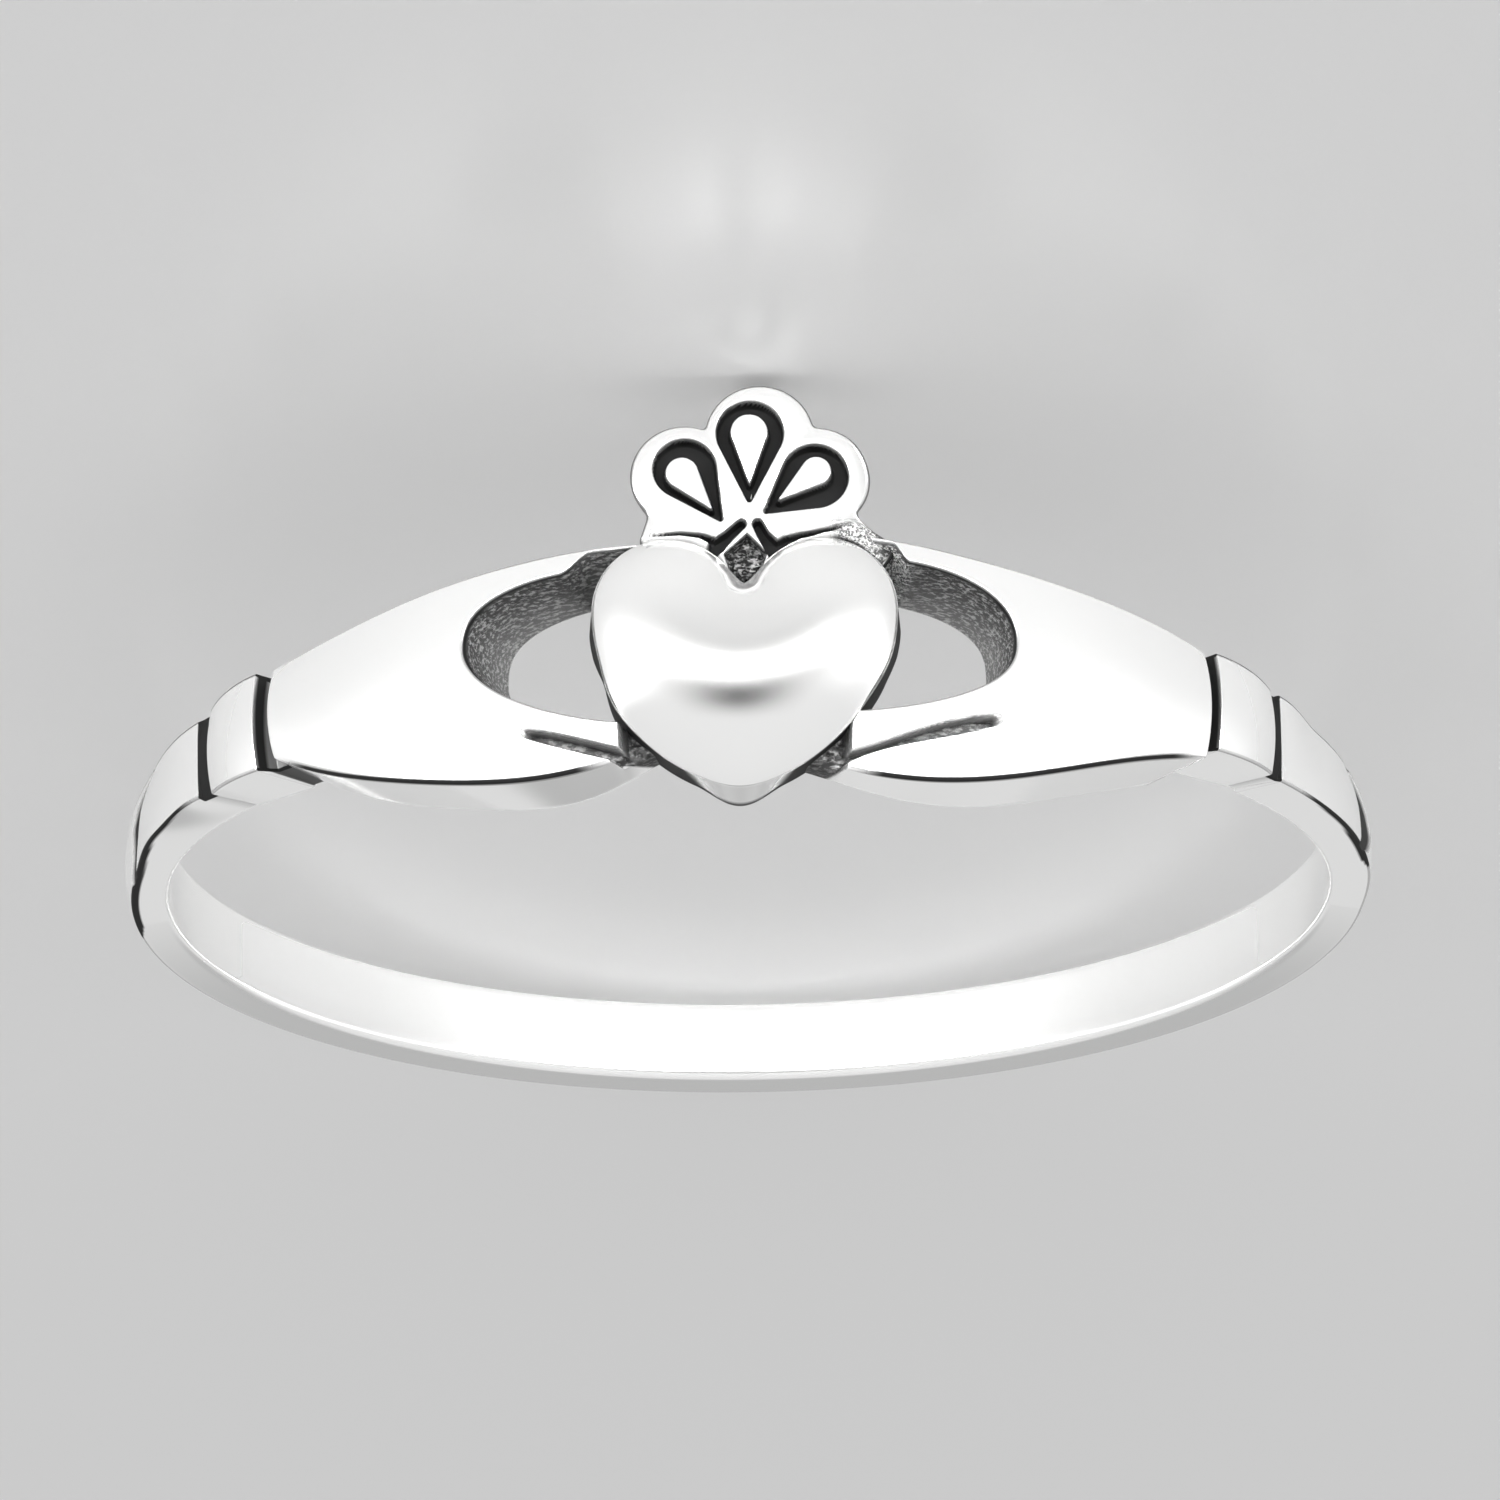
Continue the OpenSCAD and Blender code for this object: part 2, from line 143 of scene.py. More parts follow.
def make_piece(name, points, quads, triangles=None, **marks):
    """A smooth mesh at the origin, faces outward; a mark that isn't given is 0 all over."""
    triangles = np.zeros((0, 3), int) if triangles is None else triangles
    volume = signed_volume(points, quads, triangles)
    if volume < 0:
        quads, triangles = quads[:, ::-1], triangles[:, ::-1]
    mesh = bpy.data.meshes.new(name)
    mesh.from_pydata(points, [], quads.tolist() + triangles.tolist())
    mesh.shade_smooth()
    for mark in MARKS:
        values = np.broadcast_to(marks.get(mark, 0), len(points)).astype(np.float32)
        mesh.attributes.new(mark, "FLOAT", "POINT").data.foreach_set("value", values.copy())
    piece = bpy.data.objects.new(name, mesh)
    bpy.context.scene.collection.objects.link(piece)
    count = 2 * len(quads) + len(triangles)
    print(name, count, "triangles,", round(abs(volume) * 1e9, 2), "mm3")
    return piece


def make_closed(name, upright, start, end, **marks):
    """Rows of upright points closed by one point at each end. A mark on the grid is 0 there."""
    rows, cols = upright.shape[:2]
    points = np.concatenate([upright.reshape(-1, 3), [start, end]])
    poles = np.concatenate([pole_faces(rows * cols, 0, cols, True),
                            pole_faces(rows * cols + 1, rows - 1, cols, False)])
    marks = {mark: values(points) if callable(values) else np.append(values, [0, 0])
             for mark, values in marks.items()}
    return make_piece(name, lay_down(points), grid_faces(rows, cols), poles, **marks)


print("a grid of 3 x 4 has", len(grid_faces(3, 4)), "quads,", len(grid_faces(3, 4, True)),
      "when its rows close too")

# %% [markdown]
# ## Small curves
#
# Four helpers do most of the shaping. `ease` goes from 0 to 1 without a corner, and `fade`
# does so over a given run. `through` finds the smooth curve that runs closest to a few
# measured points, and `grain` is a seeded lattice of random numbers read off smoothly, for
# metal as it came from the mould.

# %% Shaping helpers
def ease(x):
    """3x^2 - 2x^3 between 0 and 1, flat outside."""
    x = np.clip(x, 0, 1)
    return x * x * (3 - 2 * x)


def fade(x, start, run):
    """Eases from 0 at start to 1 a run further on, or a run back where it is negative."""
    return ease((x - start) / run)


def through(rows, column, degree):
    """The polynomial that passes closest to a table's column, over its first column."""
    rows = np.array(rows)
    middle = rows[:, 0].mean()
    fit = np.polyfit(rows[:, 0] - middle, rows[:, column], degree)
    return lambda x: np.polyval(fit, np.asarray(x, float) - middle)


def grain(u, v, seed, cells=256):
    """Smooth noise in -1..1: four lattice values round a point, mixed by eased shares."""
    lattice = np.random.default_rng(seed).uniform(-1, 1, (cells, cells))
    u, v = np.broadcast_arrays(np.asarray(u, float), np.asarray(v, float))
    i, j = np.floor(u).astype(int), np.floor(v).astype(int)
    s, t = ease(u - i), ease(v - j)
    corner = lambda di, dj: lattice[(i + di) % cells, (j + dj) % cells]
    near = corner(0, 0) * (1 - s) + corner(1, 0) * s
    far = corner(0, 1) * (1 - s) + corner(1, 1) * s
    return near * (1 - t) + far * t


print("eased quarters:", ease(np.linspace(0, 1, 5)))

# %% [markdown]
# ## The hands
#
# Each hand is a bow of metal bent to the finger: wide at the palm, parted into an upper and a
# lower finger by a half-moon opening. A flat drawing bent round a cylinder would need its
# face, walls and inner face joined by hand. Here it is one closed loop carried round the
# opening instead: at each step the loop runs from the opening's rim out over the face to the
# hand's edge, down its side, back along the finger hole and up the opening's wall.
#
# The two hands of a casting are never quite alike, so each has its own measured edges. A
# smooth curve is run through each row of measures.

# %% Edges of the hands
# Angle from the heart, thickness of the hand's edge over the finger
THICKNESS = [(3.0, 0.64), (4.8, 0.70), (8.8, 0.84), (12.3, 0.97), (16.7, 1.15), (21.1, 1.27),
             (25.5, 1.35), (30.7, 1.39), (35.6, 1.37), (40.4, 1.31), (45.5, 1.23)]
# Angle from the heart, height: lower edge at the face, at the finger, and the upper edge
LEFT = dict(
    lower=[(3.0, -1.42), (8.5, -1.55), (11.3, -1.72), (12.7, -1.81), (14.3, -1.88),
           (16.0, -1.93), (17.7, -1.965), (19.3, -1.984), (21.0, -1.982), (23.8, -1.96),
           (26.2, -1.90), (29.9, -1.765), (34.2, -1.55), (38.2, -1.30), (41.8, -1.03),
           (44.4, -0.79)],
    lower_in=[(3.0, -1.35), (8.3, -1.50), (9.9, -1.63), (12.3, -1.83), (14.2, -1.93),
              (16.2, -1.975), (18.3, -2.00), (20.3, -2.005), (22.4, -2.00), (24.5, -1.96),
              (28.8, -1.80), (33.3, -1.625), (38.1, -1.37), (43.3, -1.01), (46.5, -0.78)],
    upper=[(3.0, 1.62), (9.4, 1.60), (12.0, 1.53), (14.1, 1.46), (15.8, 1.43), (17.5, 1.405),
           (19.1, 1.36), (20.8, 1.30), (23.7, 1.18), (27.0, 1.04), (30.5, 0.92), (34.2, 0.79),
           (38.1, 0.66), (43.8, 0.53)],
)
RIGHT = dict(
    lower=[(3.0, -1.60), (8.5, -1.885), (9.8, -1.94), (11.5, -2.01), (13.1, -2.06),
           (16.5, -2.09), (19.8, -2.07), (21.5, -2.04), (25.0, -1.91), (28.6, -1.73),
           (32.5, -1.53), (36.7, -1.33), (38.9, -1.22), (41.3, -1.12), (43.6, -1.04)],
    lower_in=[(3.0, -1.60), (7.2, -1.755), (8.9, -1.84), (10.8, -1.92), (12.8, -2.01),
              (16.7, -2.07), (20.8, -2.06), (25.0, -1.965), (29.3, -1.81), (33.9, -1.60),
              (38.8, -1.35), (44.0, -1.08)],
    upper=[(3.0, 1.62), (9.0, 1.66), (11.8, 1.64), (13.5, 1.565), (15.2, 1.49), (17.7, 1.39),
           (22.0, 1.22), (26.5, 1.05), (31.3, 0.895), (36.6, 0.71), (41.7, 0.535)],
)
thickness = through(THICKNESS, 1, 5)
for hand, degree in ((LEFT, 6), (RIGHT, 5)):
    hand.update(lower=through(hand["lower"], 1, degree), upper=through(hand["upper"], 1, 5),
                lower_in=through(hand["lower_in"], 1, degree))
print("thickness beside the heart, in the palm and at the wrist, mm:",
      [round(float(thickness(angle)), 2) for angle in (4, 30, 45)])

# %% [markdown]
# ## Openings, finger tips and slots
#
# Between its fingers a hand is open right through. The opening is two quarter ovals that
# share a blunt end towards the wrist, and it is a little lower at the finger than at the
# face, as the mould has to let go of it. The fingers end at their own angles before the
# heart, and a short slot parts the lower two.
#
# The hand's loops need two paths with as many steps each: the rim of the opening, and the
# edge of the hand. Both start inside the heart, run out above to the wrist and come back
# below, so each step of one lies opposite the same step of the other.

# %% Openings and finger tips
# Angles in degrees from the heart, heights and reaches in mm, and the power of each oval.
# A slot is a table of angle, height of its upper side and height of its lower side.
LEFT.update(
    sign=-1, wrist=44.0, scaly=0.0, web_end=(11.3, 8.4),
    opening=dict(end=23.86, lift=0.08, rise=1.14, rise_bow=0.78, drop=1.25, drop_bow=1.05),
    opening_in=dict(end=23.3, lift=-0.1, rise=1.06, rise_bow=0.68, drop=1.07, drop_bow=1.05),
    upper_tip=(15.9, 13.2), middle_tip=10.65, lower_tip=(11.8, 11.0),
    slot=[(10.7, -1.553, -1.745), (12.6, -1.482, -1.675), (14.2, -1.413, -1.605),
          (15.8, -1.339, -1.53), (18.3, -1.244, -1.385)], slot_end=18.9,
)
RIGHT.update(
    sign=1, wrist=42.3, scaly=0.9, web_end=(8.6, 7.6),
    opening=dict(end=22.87, lift=0.06, rise=1.26, rise_bow=0.9, drop=1.1, drop_bow=0.85),
    opening_in=dict(end=23.65, lift=-0.08, rise=1.04, rise_bow=0.7, drop=0.96, drop_bow=0.85),
    upper_tip=(14.3, 12.9), middle_tip=8.7, lower_tip=(8.9, 8.1),
    slot=[(8.6, -1.645, -1.793), (9.8, -1.613, -1.728), (11.5, -1.537, -1.635),
          (13.1, -1.443, -1.555), (14.8, -1.325, -1.506), (16.4, -1.255, -1.461),
          (18.0, -1.189, -1.396), (19.7, -1.13, -1.326), (20.5, -1.096, -1.27)], slot_end=21.5,
)
for hand in (LEFT, RIGHT):
    hand["slot_upper"], hand["slot_lower"] = (through(hand["slot"], c, 3) for c in (1, 2))

print("slots end at", LEFT["slot_end"], "and", RIGHT["slot_end"], "degrees from the heart")

# %% Rim of an opening
# A degree on the ring's outside in mm, and where the rim and its ovals start, in degrees
DEGREE = math.radians(1) * (BORE_R + 0.9)
HEART_END, OVAL_START = 4.0, 9.0
STEPS_STRAIGHT, STEPS_CURVE, STEPS_CLOSE = 34, 175, 12
# What the face keeps past the upper finger's tip
TIP_SLIVER = 0.045
# Heights above which lies the upper finger, and below which the lower edge
UPPER_FINGER, LOWER_EDGE = 0.5, -0.7


def opening_rim(oval):
    """A straight lead, two quarter ovals height = lift + reach cos^bow, and back."""
    p = np.linspace(0, 1, STEPS_CURVE, endpoint=False) * math.pi / 2
    lead = np.linspace(HEART_END, OVAL_START, STEPS_STRAIGHT, endpoint=False)
    back = np.linspace(0, 1, STEPS_CLOSE, endpoint=False)
    turn = np.concatenate([p, math.pi / 2 + p, [math.pi]])
    share = np.abs(np.cos(turn))
    bow = np.where(np.cos(turn) > 0, oval["rise"] * share ** oval["rise_bow"],
                   -oval["drop"] * share ** oval["drop_bow"])
    top, low = oval["lift"] + oval["rise"], oval["lift"] - oval["drop"]
    angle = np.concatenate([lead, OVAL_START + (oval["end"] - OVAL_START) * np.sin(turn),
                            lead[::-1], np.full(STEPS_CLOSE, HEART_END)])
    height = np.concatenate([np.full(STEPS_STRAIGHT, top), oval["lift"] + bow,
                             np.full(STEPS_STRAIGHT, low), low + (top - low) * back])
    return angle, height


def face_rim(hand):
    """The rim at the face: past the upper finger's tip it runs up to the hand's own edge."""
    angle, height = opening_rim(hand["opening"])
    start, end = hand["upper_tip"]
    up = ease((start - angle) / (start - end)) * (height > UPPER_FINGER)
    return angle, height * (1 - up) + (hand["upper"](angle) - TIP_SLIVER) * up


print("steps round an opening:", len(face_rim(LEFT)[0]))

# %% Edge of a hand
# The edge ends inside the heart. Its steps start at a share of their mean length and grow
EDGE_END = HEART_END - 1
WALK_STEPS, PACE = 400, 0.46


def walk(angle, height, length):
    """Points at the given shares of the length of a path on the ring."""
    run = np.concatenate([[0], np.cumsum(np.hypot(np.diff(angle) * DEGREE, np.diff(height)))])
    return np.interp(length * run[-1], run, angle), np.interp(length * run[-1], run, height)


def outer_edge(hand):
    """Out along the upper edge to the wrist's middle, and back along the lower edge."""
    wrist, upper, lower = hand["wrist"], hand["upper"], hand["lower"]
    reach = np.linspace(OVAL_START, wrist, WALK_STEPS)
    middle = (lower(wrist) + upper(wrist)) / 2
    share = np.linspace(0, 1, STEPS_CURVE, endpoint=False)
    share = PACE * share + (1 - PACE) * share ** 3
    up = walk(np.append(reach, wrist), np.append(upper(reach), middle), share)
    down = walk(np.append(reach, wrist), np.append(lower(reach), middle), share)
    lead = np.linspace(EDGE_END, OVAL_START, STEPS_STRAIGHT, endpoint=False)
    back = np.linspace(0, 1, STEPS_CLOSE, endpoint=False)
    low, high = lower(EDGE_END), upper(EDGE_END)
    angle = np.concatenate([lead, up[0], [wrist], down[0][::-1], lead[::-1],
                            np.full(STEPS_CLOSE, EDGE_END)])
    height = np.concatenate([upper(lead), up[1], [middle], down[1][::-1],
                             lower(lead)[::-1], low + (high - low) * back])
    return angle, height


def inner_edge(hand, angle, height):
    """The same edge at the finger: its lower half is shifted to the height measured there."""
    lower, upper = hand["lower"](angle), hand["upper"](angle)
    middle = (lower + upper) / 2
    share = np.clip((middle - height) / (middle - lower), 0, 1)
    return angle, height + share * (hand["lower_in"](angle) - lower)


print("steps round a hand's edge:", len(outer_edge(LEFT)[0]))

# %% [markdown]
# ## A hand's face as a height over the finger
#
# The face bulges a little between its edges. A narrow slot parts the two lower fingers, and
# each finger ends before the heart, where only a low, rough web of metal ties it on. All
# three are written into one height function of angle and height. It also marks what polish
# misses, so geometry and blackening always agree.

# %% Face of a hand
HAND_DOME = 0.14
SLOT_DEEP, SLOT_EDGE, SLOT_START = 0.34, 0.03, 7.5
WEB, WEB_GRAIN, WEB_FINE = 0.50, 0.03, (3.1, 17)
STEP_RUN, SLANT_RUN = 0.08, 0.06


def slot_share(angle, height, hand):
    """How far inside the slot a point is: the least of its distances to the slot's sides."""
    held = np.clip(angle, SLOT_START, hand["slot_end"])
    upper, lower = hand["slot_upper"](held), hand["slot_lower"](held)
    half = (upper - lower) / 2
    past = np.maximum(0, (angle - hand["slot_end"]) * DEGREE + half)
    away = np.hypot(height - (upper + lower) / 2, past)
    return ease((half - away) / SLOT_EDGE + 0.5), (upper + lower) / 2


def hand_face(angle, height, hand):
    """Edge thickness and a dome, less the slot, stepped down to the web past the finger tips."""
    low, high = hand["lower"](angle), hand["upper"](angle)
    k = np.clip((2 * height - low - high) / (high - low), -1, 1)
    radius = BORE_R + thickness(angle) + HAND_DOME * (1 - k * k)
    slot, slot_middle = slot_share(angle, height, hand)
    slot = slot * (height < 0)
    # The two lower fingers end before the heart, the lowest one on a slant
    above = ease((height - slot_middle) / SLANT_RUN + 0.5)
    start, end = hand["lower_tip"]
    tip = ease(above * (angle - hand["middle_tip"]) * DEGREE / STEP_RUN
               + (1 - above) * (angle - end) / (start - end))
    tip = np.where(height > 0, 1, tip)
    web = BORE_R + WEB + WEB_GRAIN * grain(angle * WEB_FINE[0], height * WEB_FINE[1], 5)
    radius = radius - SLOT_DEEP * slot
    radius = np.where(radius > web, web + (radius - web) * tip, radius)
    return radius, slot, 1 - tip


print("radius in the palm, in the slot and on the web, mm:",
      [round(float(hand_face(angle, height, LEFT)[0]), 2)
       for angle, height in ((35, -0.4), (15, -1.47), (8, -1.4))])

# %% [markdown]
# ## One loop of a hand
#
# The loop's four corners are the opening's rim and the hand's edge, at the face and at the
# finger. Real edges are never knife sharp, and a broken edge is what catches a line of
# light, so each corner is rounded by a short curve that starts and ends on its two sides.

# %% Rounded loops
CORNER = 0.045
FACE_POINTS, SIDE_POINTS, BACK_POINTS, WALL_POINTS, CORNER_POINTS = 76, 14, 14, 30, 7


def runs(**counts):
    """Where each named run of points lies in a loop: slices between the running totals."""
    ends = np.cumsum([0, *counts.values()])
    return {name: slice(a, b) for name, a, b in zip(counts, ends, ends[1:])}


def span(a, b, count, ease_a, ease_b):
    """Points of a straight side between two corners, set back from each by its own ease."""
    length = np.sqrt(((b - a) ** 2 * [DEGREE ** 2, 1, 1]).sum(-1))[:, None, None]
    t = np.linspace(0, 1, count)[None, :, None]
    cut_a, cut_b = np.minimum(ease_a / length, 0.4), np.minimum(ease_b / length, 0.4)
    return a[:, None] + (b - a)[:, None] * (cut_a + (1 - cut_a - cut_b) * t)


def bend(before, corner, after, count=CORNER_POINTS):
    """A corner's curve: (1-t)^2 before + 2t(1-t) corner + t^2 after, without its ends."""
    t = np.linspace(0, 1, count + 2)[1:-1][None, :, None]
    before, corner, after = before[:, None], corner[:, None], after[:, None]
    return (1 - t) ** 2 * before + 2 * t * (1 - t) * corner + t * t * after


HAND_RUNS = runs(face=FACE_POINTS, edge=CORNER_POINTS, side=SIDE_POINTS, heel=CORNER_POINTS,
                 back=BACK_POINTS, sill=CORNER_POINTS, wall=WALL_POINTS, rim=CORNER_POINTS)
print("points in a loop of a hand:", HAND_RUNS["rim"].stop)

# %% [markdown]
# ## What polish misses on a hand, and its painted dark edges
#
# Four marks tell the silver what to show. `tarnish` is the black of the slot, the web and
# the opening's walls, and `cast` is metal still rough from the mould. `line` is painted dark
# reflection: a thin black line in the lower front edge, and grey on the upper side's rounded
# corner. The fourth, `buffed`, is for the heart alone. A mark is made from the same
# distances as the shape is, so the black ends exactly where the groove does.

# %% Marks of a hand
# Grey of the painted dark reflection on rounded corners of the hands, the band and the crown
PAINTED_EDGE_DARK = 0.8
SLOT_TARNISH, SLOT_CAST = 0.95, 0.35
WEB_TARNISH, WEB_CAST = 0.92, 0.4
WALL_TARNISH, WALL_DARKER, RIM_DARK = 0.74, 0.2, 0.09
UNDER_TARNISH, UNDER_CAST = 0.95, 0.3
# Angle inside which the upper finger's wall is scaly, on the hand that is
SCALY_FROM = 15.5


def wall_marks(side, wall):
    """Tone = tarnish + darker x depth, at least the rim's; cast = (1 + scaly) (1 - rim)."""
    deep = wall[..., 2] - BORE_R
    rim = 1 - ease((thickness(wall[..., 0]) - deep) / RIM_DARK)
    tone = WALL_TARNISH + WALL_DARKER * ease(deep / thickness(wall[..., 0]))
    scales = fade(wall[..., 0], SCALY_FROM, -2) * (wall[..., 1] > UPPER_FINGER)
    return np.maximum(tone, rim), (1 + side["scaly"] * scales) * (1 - rim)


def hand_marks(side, edge, wall, slot, web):
    """Tarnish, cast and line of each run of a loop: face, edge, side, wall and rim."""
    part = HAND_RUNS
    tarnish, cast, line = np.zeros((3, len(slot), part["rim"].stop))
    tarnish[:, part["face"]] = np.maximum(SLOT_TARNISH * slot, WEB_TARNISH * web)
    cast[:, part["face"]] = np.maximum(WEB_CAST * web, SLOT_CAST * slot)
    tarnish[:, part["wall"]], cast[:, part["wall"]] = wall_marks(side, wall)
    tarnish[:, part["rim"]] = np.linspace(0.9, 0.1, CORNER_POINTS)
    # Below the web the side is black too, along a slant
    angle, height = (values[:, None] for values in edge)
    whole_side = slice(part["edge"].start, part["heel"].stop)
    web_end = np.linspace(*side["web_end"], 2 * CORNER_POINTS + SIDE_POINTS)
    under = fade(angle, web_end, -0.5) * (height < LOWER_EDGE)
    tarnish[:, whole_side], cast[:, whole_side] = UNDER_TARNISH * under, UNDER_CAST * under
    # Painted dark reflection: a thin black line in the lower edge from finger tip to wrist, and
    # grey on the upper edge's corner and side
    on_line = (fade(angle, side["lower_tip"][0], 3) * fade(angle, side["wrist"], -4)
               * (height < LOWER_EDGE))
    painted_dark = PAINTED_EDGE_DARK * (height > LOWER_EDGE)
    line[:, FACE_POINTS - 2:FACE_POINTS] = [[0.5, 1]] * on_line
    line[:, part["edge"]] = on_line + painted_dark * ease(np.linspace(0, 2, CORNER_POINTS))
    line[:, part["side"]] = painted_dark * ease(1 - np.linspace(0, 3, SIDE_POINTS))
    line[:, part["side"].start] += on_line[:, 0]
    return dict(tarnish=tarnish.ravel(), cast=cast.ravel(), line=line.ravel())


print("marks of a mesh:", ", ".join(MARKS))

# %% Make the hands
WALL_GRAIN, WALL_FADE = 0.012, 0.12
# How fine each noise is along and across the wall, its seed and its share
WALL_NOISES = [(3.2, 13, 11, 1.0), (8, 30, 12, 0.6)]


def roughen(wall):
    """The opening's wall in the mould's grain: two noises, fading out at both its edges."""
    along, deep = np.arange(len(wall))[:, None] * 0.02, wall[..., 2] - BORE_R
    rough = sum(share * grain(along * u, deep * v, seed) for u, v, seed, share in WALL_NOISES)
    edges = ease(np.minimum(deep, thickness(wall[..., 0]) - deep) / WALL_FADE)
    wall[..., 1] += WALL_GRAIN * rough * edges * np.sign(wall[..., 1])


def make_hand(name, side):
    """Loops of face, side, back and opening wall, carried round the opening."""
    rim, rim_in = face_rim(side), opening_rim(side["opening_in"])
    edge = outer_edge(side)
    edge_in = inner_edge(side, *edge)
    corner = lambda place, radius: np.stack([*place, np.broadcast_to(radius, place[0].shape)], -1)
    p_rim = corner(rim, hand_face(*rim, side)[0])
    p_edge = corner(edge, hand_face(*edge, side)[0])
    p_edge_in, p_rim_in = corner(edge_in, BORE_R), corner(rim_in, BORE_R)

    face = span(p_rim, p_edge, FACE_POINTS, CORNER, CORNER)
    face[..., 2], slot, web = hand_face(face[..., 0], face[..., 1], side)
    outside = span(p_edge, p_edge_in, SIDE_POINTS, CORNER, CORNER)
    back = span(p_edge_in, p_rim_in, BACK_POINTS, CORNER, CORNER)
    wall = span(p_rim_in, p_rim, WALL_POINTS, CORNER, CORNER)
    roughen(wall)
    loops = np.concatenate([
        face, bend(face[:, -1], p_edge, outside[:, 0]),
        outside, bend(outside[:, -1], p_edge_in, back[:, 0]),
        back, bend(back[:, -1], p_rim_in, wall[:, 0]),
        wall, bend(wall[:, -1], p_rim, face[:, 0]),
    ], 1)
    points = lay_down(on_ring(side["sign"] * loops[..., 0], loops[..., 2], loops[..., 1]))
    return make_piece(name, points.reshape(-1, 3), grid_faces(*loops.shape[:2], True),
                      **hand_marks(side, edge, wall, slot, web))


hands = [make_hand("hand_left", LEFT), make_hand("hand_right", RIGHT)]

# %% [markdown]
# ## The band, its cuffs and its shoulders
#
# Behind the hands the ring is one long sweep: a section carried round the finger hole from
# inside one palm to inside the other. The section changes as it goes: a narrow neck for each
# groove, a square cuff, a shoulder with a flat panel, then a plain round-faced band. The
# stations stand close together where it changes fast and far apart where it doesn't.
#
# Every measure of the section is a function of the angle from the heart, and each half of
# the band has its own.

# %% Sizes of the band
BAND_T, BAND_DOME, BAND_HALF, BAND_HALF_IN = 0.68, 0.12, 0.675, 0.60
CUFF_T, CUFF_END_T, CUFF_HALF, CUFF_END_HALF, CUFF_DOME = 1.24, 0.95, 0.75, 0.66, 0.07
NECK_T, NECK_HALF, NECK_END_HALF, NECK_IN = 0.84, 0.68, 0.655, 0.03
SHOULDER_T, SHOULDER_END, LIFT = 0.84, 95, -0.12
WALL_RUN = 0.3
LEFT.update(
    cuff=(46.6, 55.4), groove_out=2.5, groove_tone=0.68, smear=0.9, shoulder_half=0.62,
    edge_rise=0.07, tilt=(58, 18), tilt_fall=0.21, undercut=0.14, edge_end=100,
)
RIGHT.update(
    cuff=(44.3, 53.7), groove_out=1.75, groove_tone=1.0, smear=0.0, shoulder_half=0.67,
    edge_rise=0.0, tilt=(55, 12), tilt_fall=0.25, undercut=0.04, edge_end=84,
)
# Where, in degrees, the panel's lean runs out, its lower side is cut under and the band
# turns round: start and run
LEAN_OUT, UNDERCUT_IN, ROUND_IN = (76, 20), (68, 13), (80, 16)
RISE_AT, RISE_RUN = 61, 4.5
# Where the stations may stand far apart, and where the two halves meet
PLAIN_FROM, BACK = 100, 180


def stations(side):
    """Angles from inside the palm to the back: dense at the cuff's walls, sparse on the band."""
    near, far = side["cuff"]
    shoulder = far + side["groove_out"]
    wall = lambda a: a + np.linspace(-0.8, 0.8, 15) * WALL_RUN
    return np.unique(np.concatenate([
        np.linspace(side["wrist"] - 3, side["wrist"], 6),
        np.linspace(side["wrist"], near, 8, endpoint=False), wall(near),
        np.linspace(near, far, 34), wall(far), wall(shoulder),
        np.linspace(shoulder, PLAIN_FROM, 150), np.linspace(PLAIN_FROM, BACK, 70),
    ]))


print("stations along the left half:", len(stations(LEFT)))

# %% Section of the band
def sections(side):
    """Columns of the section's measures: neck + (cuff - neck) in_cuff + (plain - neck) past."""
    a = stations(side)
    near, far = side["cuff"]
    shoulder = far + side["groove_out"]
    in_cuff = ease((a - near) / WALL_RUN + 0.5) * ease((far - a) / WALL_RUN + 0.5)
    past = ease((a - shoulder) / WALL_RUN + 0.5)
    t = np.clip((a - shoulder) / (SHOULDER_END - shoulder), 0, 1)
    along = np.clip((a - near) / (far - near), 0, 1)
    mix = lambda neck, cuff, plain: neck + (cuff - neck) * in_cuff + (plain - neck) * past

    cuff_t = CUFF_T + (CUFF_END_T - CUFF_T) * along ** 2
    cuff_half = CUFF_HALF + (CUFF_END_HALF - CUFF_HALF) * along ** 1.5
    neck_half = NECK_HALF + (NECK_END_HALF - NECK_HALF) * along
    shoulder_t = BAND_T + (SHOULDER_T - BAND_T) * (1 - t) ** 2
    shoulder_half = side["shoulder_half"] + (BAND_HALF - side["shoulder_half"]) * t
    # At the finger a groove runs out, so the neck there is nearly as wide as the cuff
    plain_in = shoulder_half + (BAND_HALF_IN - BAND_HALF) * t
    # The flat panel leans: its upper edge falls away, and comes back to the plain band's
    tilt = side["tilt_fall"] * fade(a, *side["tilt"])
    tilt = tilt + (BAND_DOME - tilt) * fade(a, *LEAN_OUT)
    rise = side["edge_rise"] * np.exp(-((a - RISE_AT) / RISE_RUN) ** 2)
    lift, half = LIFT * (1 - t), mix(neck_half, cuff_half, shoulder_half)
    measures = dict(
        a=a, t=t, past=past, tilt=tilt, wall=1 - np.maximum(in_cuff, past),
        radius=BORE_R + mix(NECK_T, cuff_t, shoulder_t), middle=lift + rise / 2,
        reach=half - rise / 2, low=lift - half + rise, high=lift + half,
        low_in=lift - mix(cuff_half - NECK_IN, cuff_half, plain_in),
        high_in=lift + mix(cuff_half - NECK_IN, cuff_half, plain_in))
    return {name: values[:, None] for name, values in measures.items()}


print("the plain band is", round(2 * BAND_HALF, 2), "mm wide and", BAND_T, "mm thick")
